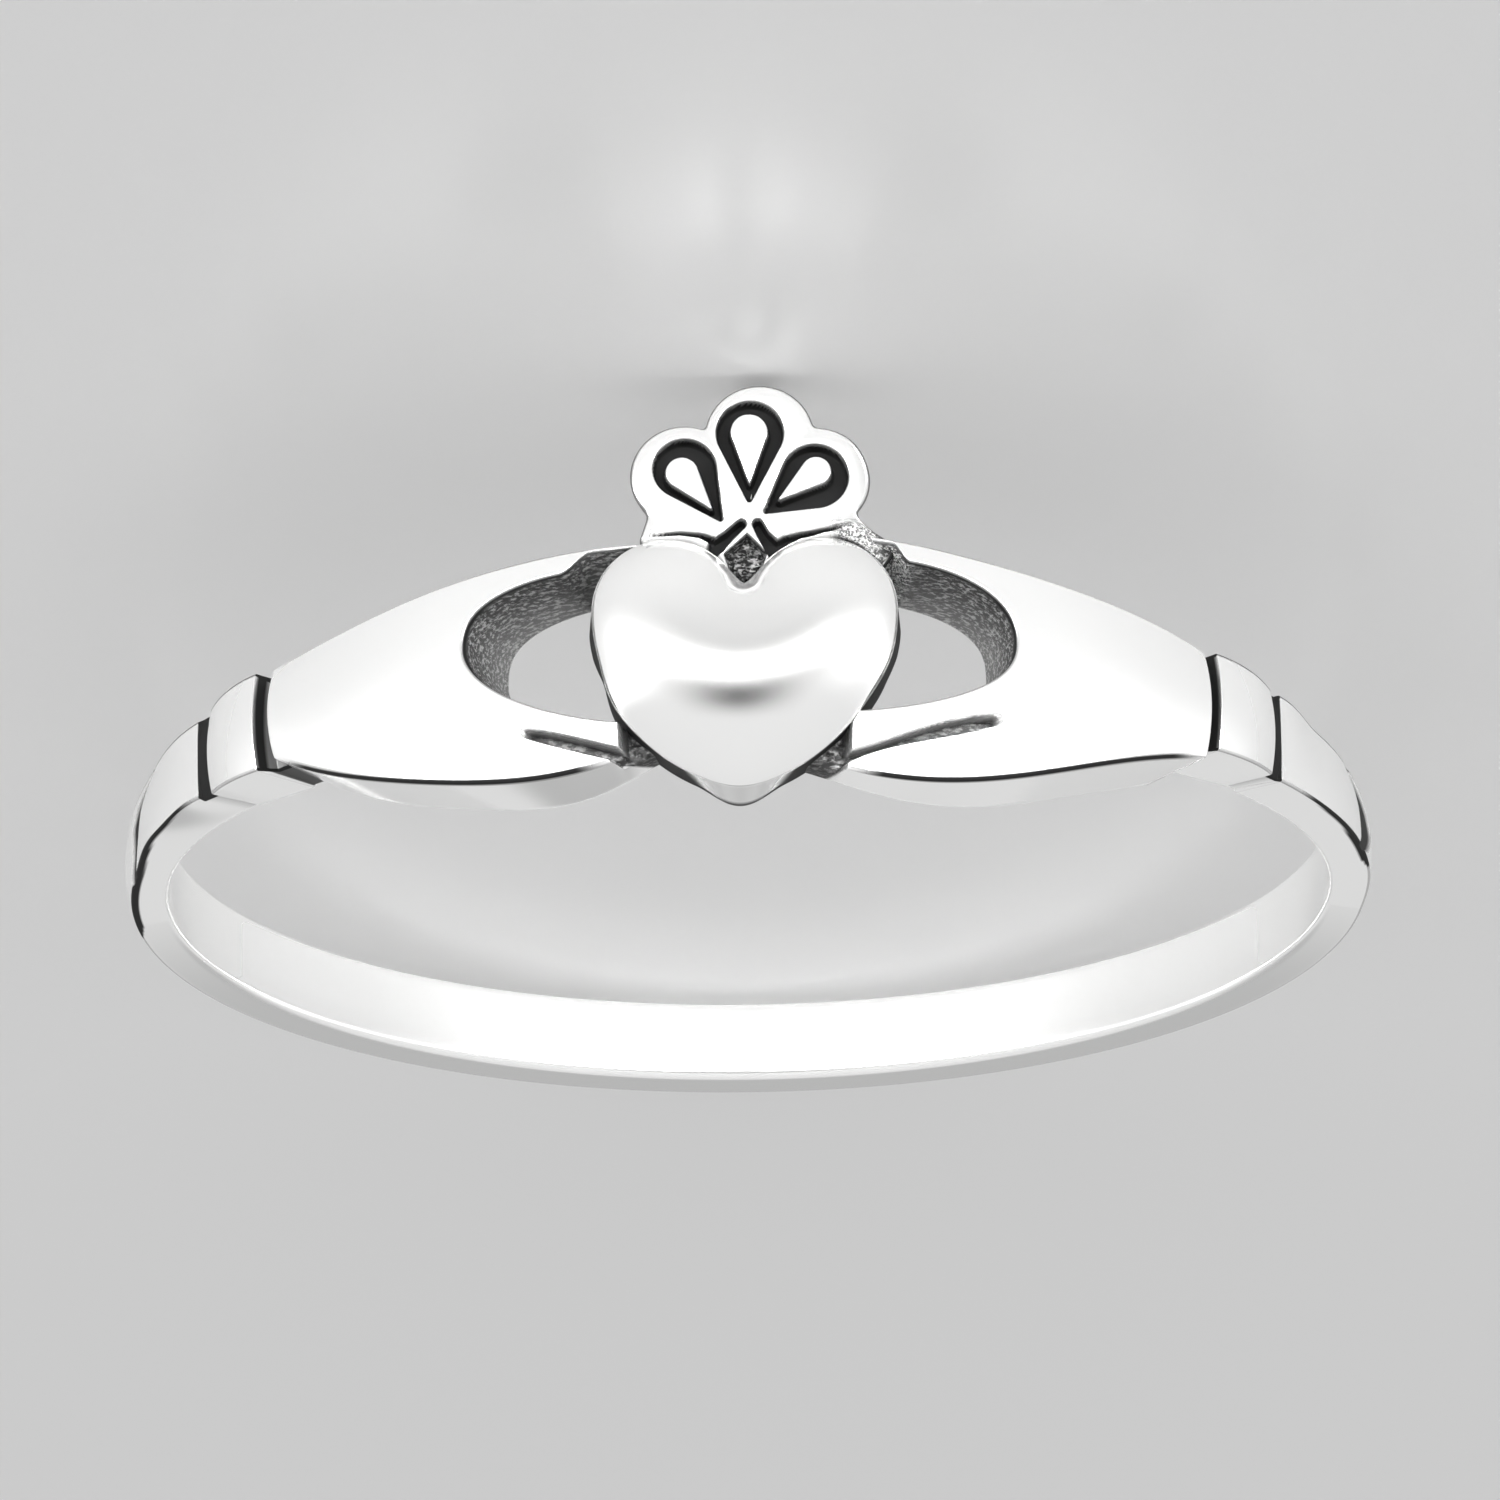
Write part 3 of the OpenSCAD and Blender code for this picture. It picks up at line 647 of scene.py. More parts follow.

# %% [markdown]
# ## The shoulder's panel
#
# Past each cuff a flat panel is bounded by a black line: a wedge engraved down across the
# band, oxidised black, and along the band's own lower edge a painted dark reflection. Both
# run out into one point. The wedge is kept between two smooth curves, its near and its far
# border, each an angle by height.

# %% Engraved wedge
# Height, angle of the wedge's near border, angle of its far border
LEFT["wedge"] = [(0.52, 71.5, 72.3), (0.42, 74.8, 78.6), (0.25, 76.6, 81.4), (0.04, 77.5, 81.8),
                 (-0.3, 77.8, 82.0), (-0.55, 79.0, 83.0), (-0.72, 81.0, 84.5)]
RIGHT["wedge"] = [(0.62, 74.4, 75.2), (0.52, 77.3, 82.0), (0.42, 79.0, 86.0), (0.2, 80.0, 88.0),
                  (-0.1, 79.3, 87.0), (-0.4, 78.0, 83.4), (-0.6, 76.6, 79.6), (-0.75, 75.2, 76.4)]
for hand in (LEFT, RIGHT):
    hand["near"], hand["far"] = (through(hand["wedge"], column, 4) for column in (1, 2))
WEDGE_DEEP, WEDGE_EDGE = 0.05, 0.5
# The painted dark edge: where it starts and is widest, its width on the face and on the side
EDGE_START, EDGE_FULL, EDGE_ABOVE, EDGE_BELOW, EDGE_SOFT = 57, 76, 0.06, 0.11, 0.02


def engraving(angle, height, side):
    """Share of the wedge: how far past the near border and short of the far one, in degrees."""
    inside = np.minimum(angle - side["near"](height), side["far"](height) - angle)
    return ease(inside / WEDGE_EDGE + 0.5)


def edge_growth(angle, side):
    """The painted dark edge widens from the groove to the wedge, and fades after it."""
    share = np.clip((angle - EDGE_START) / (EDGE_FULL - EDGE_START), 0, 1)
    return share ** 0.9 * fade(angle, side["edge_end"], -5)


print("the left wedge is", round(float(LEFT["far"](0) - LEFT["near"](0)), 1), "degrees wide")

# %% [markdown]
# ## Sweeping the band
#
# A section is a closed loop of eight runs: the side on the finger, the lower side, the outer
# face and the upper side, each joined to the next by a rounded corner. A modifier could
# bevel such corners, but here they are part of the loop, so that a mark can follow them:
# painted dark reflection lies grey on the corners, and black along the lower one.

# %% Face of the band
FACE_ROW, SIDE_ROW, BORE_ROW, TURN_ROW = 78, 16, 14, 6
BAND_RUNS = runs(bore=BORE_ROW, low_turn=TURN_ROW, low=SIDE_ROW, low_edge=TURN_ROW,
                 face=FACE_ROW, high_edge=TURN_ROW, high=SIDE_ROW, high_turn=TURN_ROW)
ROUND_FLAT = 0.1


def band_face(s, side):
    """Height, drop and cut of the outer side, with k from -1 at its lower edge to 1.

    The drop is tilt ((k+1)/2)^1.2 + undercut ((1-k)/2)^2 on a panel, dome k^2 on a cuff and
    dome (|k| - flat)^2 on the round band.
    """
    k = np.linspace(-1, 1, FACE_ROW)[None, :]
    height = s["middle"] + (s["reach"] - CORNER) * k
    panel = (s["tilt"] * ((k + 1) / 2) ** 1.2
             + side["undercut"] * fade(s["a"], *UNDERCUT_IN) * ((1 - k) / 2) ** 2)
    rounded = BAND_DOME * (np.clip(np.abs(k) - ROUND_FLAT, 0, 1) / (1 - ROUND_FLAT)) ** 2
    share = fade(s["a"], *ROUND_IN)
    drop = (s["past"] * (panel * (1 - share) + rounded * share)
            + (1 - s["past"]) * CUFF_DOME * k * k)
    return height, drop, engraving(s["a"], height, side)


print("points in a section of the band:", BAND_RUNS["high_turn"].stop)

# %% Marks of the band
GROOVE_SOFT, SEAM_OUT, SEAM_RUN, SEAM_TARNISH = 0.12, 0.4, 0.25, 0.5


def band_marks(s, side, loops, height, cut):
    """Black grooves and wedge, a seam under each cuff's end, and painted dark reflection on the
    corners and the panel's lower edge.
    """
    part, a, (near, far) = BAND_RUNS, s["a"], side["cuff"]
    tarnish, line = np.zeros((2, *loops.shape[:2]))
    tarnish[:, part["face"]] = cut
    # A groove's floor and both its walls are black; under the band only a thin line is left
    out = slice(part["low_edge"].start, part["high"].stop)
    neck = ease(s["wall"] / GROOVE_SOFT) * ease((loops[:, out, 2] - BORE_R + 0.1) / 0.5)
    tone = np.where(a < near, side["groove_tone"], 1)
    tarnish[:, out] = np.maximum(tarnish[:, out], tone * neck)
    seam = sum(np.exp(-((a - end) / SEAM_RUN) ** 2) for end in (near - SEAM_OUT, far + SEAM_OUT))
    smear = side["smear"] * neck[:, :1] * (a < near)
    tarnish[:, part["low"]] = np.maximum(SEAM_TARNISH * seam, smear)
    # Painted dark reflection: grey on the corners of the face, black along the panel's lower edge
    grown = edge_growth(a, side)
    black = lambda away, width: ease((width * grown - away) / EDGE_SOFT + 0.5) * (grown > 0)
    below = s["low_radius"] - loops[:, part["low"], 2]
    line[:, part["face"]] = black(height - s["middle"] + s["reach"], EDGE_ABOVE)
    line[:, part["low"]] = black(below, EDGE_BELOW)
    line[:, part["low_edge"]] = np.maximum(PAINTED_EDGE_DARK / 2, ease(grown * 3))
    line[:, part["high_edge"]] = PAINTED_EDGE_DARK
    return tarnish, line


print("cuffs lie from and to, degrees:", LEFT["cuff"], RIGHT["cuff"])

# %% Sweep the band
# The corners at the finger are rounder at the back by the second measure
BORE_CORNER, BACK_ROUNDER = 0.05, 0.06


def band_loops(side):
    """Section loops: bore, lower side, face and upper side, with rounded corners."""
    s = sections(side)
    height, drop, cut = band_face(s, side)
    face = np.stack([np.broadcast_to(s["a"], height.shape), height,
                     s["radius"] - drop - WEDGE_DEEP * cut], -1)
    s["low_radius"] = s["radius"] - drop[:, :1]
    corner = lambda z, r: np.concatenate([s["a"], z, np.broadcast_to(r, z.shape)], 1)
    low_out = corner(s["low"], s["low_radius"])
    high_out = corner(s["high"], s["radius"] - drop[:, -1:])
    low_in, high_in = corner(s["low_in"], BORE_R), corner(s["high_in"], BORE_R)
    soft = BORE_CORNER + BACK_ROUNDER * s["t"][..., None]
    low = span(low_in, low_out, SIDE_ROW, soft, CORNER)
    high = span(high_out, high_in, SIDE_ROW, CORNER, soft)
    bore = span(high_in, low_in, BORE_ROW, soft, soft)
    loops = np.concatenate([
        bore, bend(bore[:, -1], low_in, low[:, 0], TURN_ROW),
        low, bend(low[:, -1], low_out, face[:, 0], TURN_ROW),
        face, bend(face[:, -1], high_out, high[:, 0], TURN_ROW),
        high, bend(high[:, -1], high_in, bore[:, 0], TURN_ROW),
    ], 1)
    return loops, *band_marks(s, side, loops, height, cut)


def make_band():
    """Right palm round the back to the left palm, closed at both ends by a point."""
    both = zip(band_loops(RIGHT), band_loops(LEFT), ([-1, 1, 1], 1, 1))
    loops, tarnish, line = (np.concatenate([right, (left * np.array(mirror))[-2::-1]])
                            for right, left, mirror in both)
    upright = on_ring(loops[..., 0], loops[..., 2], loops[..., 1])
    return make_closed("shank", upright, upright[0].mean(0), upright[-1].mean(0),
                       tarnish=tarnish, line=line)


shank = make_band()

# %% [markdown]
# ## The heart
#
# A puffed heart is hard to get from a flat outline: if the outline only shrinks to a middle
# point as it rises, the notch leaves a crease all the way up. The height here follows a soft
# distance to the edge instead. Every bit of the outline pulls on a point, nearer bits much
# harder, so close to the edge it is the plain distance, and further in the pulls average
# out: the notch fades into a soft valley and the dome stays smooth.
#
# The outline itself is three kinds of arc: the blunt tip, the long sides and the two lobes.

# %% Outline of the heart
HEART_HALF, LOBE_R, TIP_R = 2.21, 1.09, 1.0
LOBE = (HEART_HALF - LOBE_R, 0.49)
TIP_Z, NOTCH_Z = -1.19, 0.86
HEART_LEAN = 0.10
AROUND, SOFT_SIDES, ARC_POINTS = 420, 140, 80


def heart_outline(count):
    """Arcs from the tip over one lobe to the notch, then mirrored; evenly spaced all round."""
    rise = LOBE[1] - TIP_Z
    side_r = (HEART_HALF ** 2 + rise ** 2 - TIP_R ** 2) / (2 * (HEART_HALF - TIP_R))
    turn = math.atan2(rise, side_r - HEART_HALF)
    reach = math.hypot(LOBE[0], NOTCH_Z - LOBE[1])
    touch = math.pi - math.atan2(NOTCH_Z - LOBE[1], LOBE[0]) - math.acos(LOBE_R / reach)
    b = np.linspace(0, math.pi / 2 - turn, ARC_POINTS)
    tip = np.stack([TIP_R * np.sin(b), TIP_Z - TIP_R * np.cos(b)], -1)
    b = np.linspace(turn, 0, ARC_POINTS)
    long_side = np.stack([HEART_HALF - side_r + side_r * np.cos(b),
                          LOBE[1] - side_r * np.sin(b)], -1)
    b = np.linspace(0, touch, 2 * ARC_POINTS)
    lobe = np.stack([LOBE[0] + LOBE_R * np.cos(b), LOBE[1] + LOBE_R * np.sin(b)], -1)
    # The straight run down to the notch ends in a small round
    s = np.linspace(0, 1, ARC_POINTS // 2)[:, None]
    straight = lobe[-1] + (np.array([0.0, NOTCH_Z]) - lobe[-1]) * s
    half = np.concatenate([tip, long_side, lobe, straight])
    whole = np.concatenate([half, half[::-1] * [-1, 1]])
    # It isn't quite even: the lower half leans a little to the left
    whole[:, 0] -= HEART_LEAN * ease(-whole[:, 1] - 0.1)
    return resample(whole, count)


def resample(path, count):
    """The same closed path with evenly spaced points, each corner softened by its neighbours."""
    path = np.concatenate([path, path[:1]])
    run = np.concatenate([[0], np.cumsum(np.hypot(*np.diff(path, axis=0).T))])
    at = np.linspace(0, run[-1], count, endpoint=False)
    even = np.stack([np.interp(at, run, path[:, 0]), np.interp(at, run, path[:, 1])], -1)
    for _ in range(2):
        even = (np.roll(even, 1, 0) + 2 * even + np.roll(even, -1, 0)) / 4
    return even


print("the heart is", round(float(np.ptp(heart_outline(AROUND)[:, 0])), 2), "mm wide")

# %% [markdown]
# ## Raising the heart
#
# Copies of the outline shrink to a middle point, and the soft distance lifts them to a dome.
# Below the dome's edge the side wall runs back to the finger. It is black, as a wheel never
# gets there, but near the tip the wall is open to view and stays bright.

# %% Raise the heart
DOME_ROWS, SKIRT_ROWS, REAR_ROWS = 90, 16, 10
HEART_FRONT, HEART_RISE, HEART_BOW = BORE_R + 0.90, 0.69, 0.8
HEART_MIDDLE = np.array([0.0, -0.1])
SIDE_FLARE, SIDE_PINCH, LOW_PINCH = 0.05, 0.07, 0.06
BACK_R = BORE_R - 0.004
TIP_TARNISH, TIP_BRIGHT_TO = 0.2, -2.1
# Painted shade along the heart's back edge, where its side wall meets the finger hole: how dark,
# and where it starts and its run
PAINTED_REAR_SHADE, REAR_SHADE_FADE = 0.7, (0.82, 0.1)
BUFFED_MOST, BUFFED_LESS = 1.64, 1.2


def back_y(x, radius):
    """Where a line that runs straight back meets the finger hole: -sqrt(r^2 - x^2)."""
    return -np.sqrt(radius ** 2 - x ** 2)


def soft_distance(points, outline):
    """Pi over the sum, for all sides, of the angle a side is seen under over its distance."""
    to_a = outline - points[..., None, :]
    to_b = np.roll(outline, -1, 0) - points[..., None, :]
    cross = to_a[..., 0] * to_b[..., 1] - to_a[..., 1] * to_b[..., 0]
    angle = np.abs(np.arctan2(cross, (to_a * to_b).sum(-1)))
    length = np.hypot(*(np.roll(outline, -1, 0) - outline).T)
    away = np.maximum(np.abs(cross) / length, 1e-7)
    return math.pi / (angle / away).sum(-1)


def heart_wall(outline, outward):
    """The outline moved out by flare - pinch, growing all the way down the side wall."""
    x, z = outline.T
    pinch = SIDE_PINCH * fade(z, 0.2, -0.5) + LOW_PINCH * fade(z, -1.1, -0.5)
    pinch = pinch * ease(np.abs(x + HEART_LEAN) / 0.7)
    flare = (SIDE_FLARE * ease(z / 0.6) - pinch)[:, None]
    down = np.linspace(0, 1, SKIRT_ROWS + 1)[1:, None]
    return down, outline + flare * down[..., None] * outward


def make_heart():
    """Copies of the outline from a middle point to the edge, down the side wall and back."""
    outline = heart_outline(AROUND)
    away = outline - HEART_MIDDLE
    share = 1 - (1 - np.linspace(0, 1, DOME_ROWS + 1)[1:, None, None]) ** 1.5
    dome = HEART_MIDDLE + share * away
    depth = soft_distance(dome, heart_outline(SOFT_SIDES))
    depth[-1] = 0
    fill = np.clip(depth / depth.max(), 0, 1)
    dome_y = -(HEART_FRONT + HEART_RISE * fill ** HEART_BOW)
    down, wall = heart_wall(outline, away / np.hypot(*away.T)[:, None])
    wall_y = -HEART_FRONT + (back_y(wall[..., 0], BACK_R) + HEART_FRONT) * down
    shrink = np.linspace(1, 0, REAR_ROWS + 1)[1:-1, None, None]
    rear = HEART_MIDDLE + (wall[-1] - HEART_MIDDLE) * shrink
    flat = np.concatenate([dome, wall, rear])
    depth = np.concatenate([dome_y, wall_y, back_y(rear[..., 0], BACK_R)])

    tarnish, line = np.zeros((2, *depth.shape))
    skirt = slice(DOME_ROWS, DOME_ROWS + SKIRT_ROWS)
    beside = TIP_TARNISH + (1 - TIP_TARNISH) * fade(wall[..., 1], TIP_BRIGHT_TO, 0.22)
    tarnish[skirt] = beside * ease(down * 8)
    # Painted shade on the last rows of the side wall, at its back edge
    line[skirt] = PAINTED_REAR_SHADE * fade(down, *REAR_SHADE_FADE)
    # Polish wears the heart's lower half, which stands out most, to the hardest mirror
    buffed = lambda points: BUFFED_MOST - BUFFED_LESS * fade(points[:, 2], -0.3, 1.3)
    x, z = HEART_MIDDLE
    return make_closed("heart", np.stack([flat[..., 0], depth, flat[..., 1]], -1),
                       [x, dome_y[0].mean(), z], [x, back_y(x, BACK_R), z],
                       tarnish=tarnish, line=line, buffed=buffed)


heart = make_heart()

# %% [markdown]
# ## The crown
#
# The crown is a small plate with three round lobes. Three teardrop grooves are cut into it,
# each round a petal left standing, and two short grooves lean together over the notch. As
# for the hands, the plate is one height function over its outline: distances to a few
# simple shapes say where each groove runs and how deep it is.

# %% Outline of the crown
CROWN_MIDDLE, RAYS = np.array([0.12, 2.25]), 460
LOBES = [(-0.85, 2.55, 0.78), (0.25, 3.15, 0.79), (1.06, 2.50, 0.78)]
FOOT = [(-1.50, 0.60), (-1.50, 1.60), (-1.42, 1.84), (-1.30, 2.2), (0.10, 3.0), (1.50, 2.2),
        (1.58, 2.02), (1.70, 1.86), (1.86, 1.74), (2.08, 1.64), (2.20, 1.45), (1.60, 0.60)]
FILLET = 0.10
RAY_NEAR, RAY_FAR, HALVINGS = 0.5, 2.6, 24


def polygon_distance(points, corners):
    """Signed distance to a polygon, negative inside: nearest side, sign by crossings."""
    corners = np.array(corners, float)
    a, b = corners, np.roll(corners, -1, 0)
    side, p = b - a, points[..., None, :]
    t = np.clip(((p - a) * side).sum(-1) / (side ** 2).sum(-1), 0, 1)
    away = np.linalg.norm(p - a - t[..., None] * side, axis=-1).min(-1)
    x, z = points[..., 0:1], points[..., 1:2]
    spans = (a[:, 1] > z) != (b[:, 1] > z)
    cross = a[:, 0] + (z - a[:, 1]) / np.where(side[:, 1] == 0, 1, side[:, 1]) * side[:, 0]
    inside = ((spans & (x < cross)).sum(-1) % 2).astype(bool)
    return np.where(inside, -away, away)


def join(a, b, blend):
    """The smaller of two distances, with the inner corner between them filled."""
    h = np.clip(0.5 + 0.5 * (b - a) / blend, 0, 1)
    return b * (1 - h) + a * h - blend * h * (1 - h)


def crown_distance(points):
    """Three discs and the foot, joined with fillets."""
    total = polygon_distance(points, FOOT)
    for x, z, r in LOBES:
        total = join(total, np.hypot(points[..., 0] - x, points[..., 1] - z) - r, FILLET)
    return total


def crown_outline(count):
    """Where rays from the middle leave the crown: found by halving, all rays at once."""
    bearing = np.linspace(0, 2 * math.pi, count, endpoint=False)
    ray = np.stack([np.cos(bearing), np.sin(bearing)], -1)
    near, far = np.full(count, RAY_NEAR), np.full(count, RAY_FAR)
    for _ in range(HALVINGS):
        half = (near + far) / 2
        inside = crown_distance(CROWN_MIDDLE + ray * half[:, None]) < 0
        near, far = np.where(inside, half, near), np.where(inside, far, half)
    return CROWN_MIDDLE + ray * near[:, None]


print("the crown is", round(float(np.ptp(crown_outline(RAYS)[:, 0])), 2), "mm wide at its foot")

# %% [markdown]
# ## Grooves as distances
#
# A teardrop is a round cone: a circle that shrinks on its way to a tip. A groove lies inside
# a large teardrop and outside a small one. The other grooves follow short paths whose width
# changes on the way. The least of all these distances says how deep a point lies.

# %% Grooves of the crown
TEARDROPS = [
    # outer circle x, z, r, outer tip x, z, petal circle x, z, r, petal tip x, z
    ((0.11, 3.20, 0.49), (0.09, 2.17), (0.10, 3.22, 0.27), (0.095, 2.45)),
    ((-0.84, 2.66, 0.46), (-0.33, 1.88), (-0.88, 2.60, 0.24), (-0.47, 2.06)),
    ((1.04, 2.52, 0.49), (0.33, 1.99), (1.06, 2.60, 0.22), (0.53, 2.18)),
]
# Runs of x, z and half width: the short grooves, and the crevices between crown and heart
SHORT_GROOVES = [
    [(-0.03, 1.80, 0.075), (-0.22, 1.62, 0.085), (-0.40, 1.46, 0.12)],
    [(0.205, 1.80, 0.08), (0.29, 1.62, 0.09), (0.43, 1.43, 0.13)],
]
CREVICES = [
    [(-1.36, 1.645, 0.012), (-1.13, 1.668, 0.026), (-0.92, 1.672, 0.028), (-0.63, 1.632, 0.034),
     (-0.45, 1.56, 0.06), (-0.34, 1.44, 0.07)],
    [(0.45, 1.45, 0.09), (0.60, 1.56, 0.06), (0.81, 1.63, 0.042), (1.10, 1.68, 0.036),
     (1.32, 1.72, 0.03), (1.54, 1.80, 0.008)],
]
DIAMOND = [(0.05, 1.66), (-0.30, 1.34), (-0.10, 0.80), (0.10, 0.80), (0.35, 1.36)]
TEAR_TIP_R, PETAL_TIP_R, GROOVE_EDGE = 0.035, 0.02, 0.05
FAR_AWAY = 9.0


def drop_distance(points, circle, tip, tip_r):
    """Distance to a teardrop: a round cone whose radius shrinks from circle to tip."""
    a, b = np.array(circle[:2]), np.array(tip)
    axis, r = b - a, circle[2]
    length = np.hypot(*axis)
    axis = axis / length
    rel = points - a
    along = (rel * axis).sum(-1)
    across = np.abs(rel[..., 0] * axis[1] - rel[..., 1] * axis[0])
    slope = (r - tip_r) / length
    flat = math.sqrt(1 - slope ** 2)
    shift = along - across * slope / flat
    held = np.clip(shift, 0, length)
    return np.hypot(along - held, across) - (r - slope * held)


def run_distance(points, run):
    """Distance to a path whose half width changes along it, less that half width."""
    least = np.full(points.shape[:-1], FAR_AWAY)
    for (*a, wide_a), (*b, wide_b) in zip(run, run[1:]):
        a, b = np.array(a), np.array(b)
        t = np.clip(((points - a) * (b - a)).sum(-1) / ((b - a) ** 2).sum(), 0, 1)
        away = np.linalg.norm(points - a - t[..., None] * (b - a), axis=-1)
        least = np.minimum(least, away - wide_a - (wide_b - wide_a) * t)
    return least


def crown_grooves(points):
    """How far inside a groove each point is, 0 on the face and 1 on a floor."""
    inside = np.full(points.shape[:-1], FAR_AWAY)
    for circle, tip, petal, petal_tip in TEARDROPS:
        outer = drop_distance(points, circle, tip, TEAR_TIP_R)
        inner = drop_distance(points, petal, petal_tip, PETAL_TIP_R)
        inside = np.minimum(inside, np.maximum(outer, -inner))
    for run in SHORT_GROOVES + CREVICES:
        inside = np.minimum(inside, run_distance(points, run))
    return ease(-inside / GROOVE_EDGE + 0.3)


grooved = crown_grooves(crown_outline(RAYS) * 0.8 + CROWN_MIDDLE * 0.2)
print("share of a ring inside the crown that lies in a groove:", round(float(grooved.mean()), 2))

# %% [markdown]
# ## Raising the crown
#
# The face is a height over rings that grow from the middle to the outline. It falls away
# towards its rim and the heart's edge, and sinks where the foot runs out to the right hand.
# The foot and the small diamond in the notch were never polished: they stay rough, and black
# where they meet the heart.

# %% Face of the crown
CROWN_FRONT, CROWN_BACK_R = BORE_R + 0.95, BORE_R + 0.006
CROWN_ROWS, RIM_ROWS, CROWN_WALL_ROWS, CROWN_REAR_ROWS = 112, 8, 12, 10
GROOVE_DEEP, DIAMOND_DEEP, DIAMOND_GRAIN = 0.26, 0.24, 0.05
RIM, TAPER = CORNER * 1.4, 0.2
RIM_FALL, HEART_FALL, FOOT_SINK = 0.06, 0.14, 0.3
DIAMOND_EDGE, RIM_RUN, HEART_RUN = 0.06, 0.2, 0.08
# The foot, as start and run: from the side, down from the lobe, its dark end and its sink
FOOT_SIDE, FOOT_TOP, FOOT_END, SINK_RUN = (1.2, 0.2), (1.88, -0.12), (1.8, 0.35), (1.5, 0.6)
# Its tarnish and cast where it is open, and how much these change where it is black
FOOT_TARNISH, FOOT_BLACKER, FOOT_CAST, FOOT_SMOOTHER = 0.88, 0.12, 1.7, 1.2


def crown_face(face):
    """Depth of the face: front less grooves or diamond, rim, heart's edge and sunken foot."""
    x, z = face[..., 0], face[..., 1]
    groove = crown_grooves(face)
    diamond = ease(-polygon_distance(face, DIAMOND) / DIAMOND_EDGE + 0.2)
    lump = diamond * (DIAMOND_DEEP + DIAMOND_GRAIN * grain(x * 16, z * 16, 21))
    rim = RIM_FALL * (1 - np.clip(-crown_distance(face) / RIM_RUN, 0, 1)) ** 2
    beside = 1 - ease(polygon_distance(face, heart_outline(SOFT_SIDES)) / HEART_RUN)
    sink = FOOT_SINK * fade(x, *SINK_RUN)
    deep = np.maximum(GROOVE_DEEP * groove, lump)
    return -(CROWN_FRONT - deep - rim - HEART_FALL * beside - sink), groove, diamond, beside


def face_marks(face, groove, diamond, beside):
    """Black grooves, a rough diamond, and a rough foot black by the heart and at its end."""
    x, z = face[..., 0], face[..., 1]
    foot = fade(z, *FOOT_TOP) * fade(x, *FOOT_SIDE)
    end = fade(x, *FOOT_END)
    shade = np.maximum(ease(beside), end)
    tarnish = np.maximum.reduce([fade(groove, 0.1, 0.3), ease(diamond * 4),
                                 (FOOT_TARNISH + FOOT_BLACKER * shade) * foot])
    cast = np.maximum(diamond * (1 - groove), (FOOT_CAST - FOOT_SMOOTHER * shade) * foot)
    return tarnish, cast, foot[-1] * np.maximum(end[-1], 0.5)


print("the crown's face is", round(CROWN_FRONT - BORE_R, 2), "mm over the finger")

# %% Raise the crown
def make_crown():
    """Rings from the middle to the outline, a rounded rim, the wall and the back."""
    outline = crown_outline(RAYS)
    away = outline - CROWN_MIDDLE
    length = np.hypot(*away.T)[:, None]
    share = np.linspace(0, 1, CROWN_ROWS + 1)[1:, None, None]
    face = CROWN_MIDDLE + away * share * (1 - RIM / length)
    face_y, *forms = crown_face(face)
    turn = np.linspace(0, 1, RIM_ROWS + 2)[1:, None]
    rim = face[-1] + (outline - face[-1]) * np.sin(turn * math.pi / 2)[..., None]
    rim_y = face_y[-1] + RIM * (1 - np.cos(turn * math.pi / 2)) * np.ones(RAYS)
    down = np.linspace(0, 1, CROWN_WALL_ROWS + 1)[1:, None]
    wall = outline - TAPER * down[..., None] * (away / length)
    wall_y = rim_y[-1] + (back_y(wall[..., 0], CROWN_BACK_R) - rim_y[-1]) * down
    shrink = np.linspace(1, 0, CROWN_REAR_ROWS + 1)[1:-1, None, None]
    rear = CROWN_MIDDLE + (wall[-1] - CROWN_MIDDLE) * shrink
    flat = np.concatenate([face, rim, wall, rear])
    depth = np.concatenate([face_y, rim_y, wall_y, back_y(rear[..., 0], CROWN_BACK_R)])

    tarnish, cast, line = np.zeros((3, *depth.shape))
    part = runs(face=len(face), rim=len(rim), wall=len(wall), rear=len(rear))
    tarnish[part["face"]], cast[part["face"]], dark = face_marks(face, *forms)
    tarnish[part["rim"]] = tarnish[part["wall"]] = dark
    # Painted dark reflection on the crown's rounded rim and the top of its wall
    line[part["rim"]] = PAINTED_EDGE_DARK * fade(turn, 0.15, 0.35)
    line[part["wall"]] = PAINTED_EDGE_DARK * (1 - ease(down / 0.3))
    x, z = CROWN_MIDDLE
    return make_closed("crown", np.stack([flat[..., 0], depth, flat[..., 1]], -1),
                       [x, -CROWN_FRONT, z], [x, back_y(x, CROWN_BACK_R), z],
                       tarnish=tarnish, cast=cast, line=line)


crown = make_crown()

# %% [markdown]
# ## Shader maths as plain expressions
#
# A material is a graph of nodes, but reading it is easier as sums and products. `Wire` wraps
# a socket and turns each operator into a Math node, and one method makes every other node.

# %% Node helpers
class Wire:
    """A node's output that can be added to, taken from, multiplied and eased."""

    def __init__(self, graph, socket):
        self.graph, self.socket = graph, socket

    def maths(self, operation, *values, clamp=False):
        """A Math node of any operation on any values or wires."""
        node = self.graph.make("ShaderNodeMath", dict(operation=operation, use_clamp=clamp),
                               dict(enumerate(values)))
        return self.graph.out(node)

    def __add__(self, other):
        return self.maths("ADD", self, other)

    def __sub__(self, other):
        return self.maths("SUBTRACT", self, other)

    def __rsub__(self, other):
        return self.maths("SUBTRACT", other, self)

    def __mul__(self, other):
        return self.maths("MULTIPLY", self, other)

    __radd__, __rmul__ = __add__, __mul__

    def clamp(self):
        """The value itself, held between 0 and 1."""
        return self.maths("ADD", self, 0.0, clamp=True)

    def step(self, low, high):
        """Eases from 0 to 1 as the value goes from low to high."""
        node = self.graph.make("ShaderNodeMapRange", dict(interpolation_type="SMOOTHSTEP"),
                              {"Value": self, "From Min": low, "From Max": high})
        return self.graph.out(node, "Result")


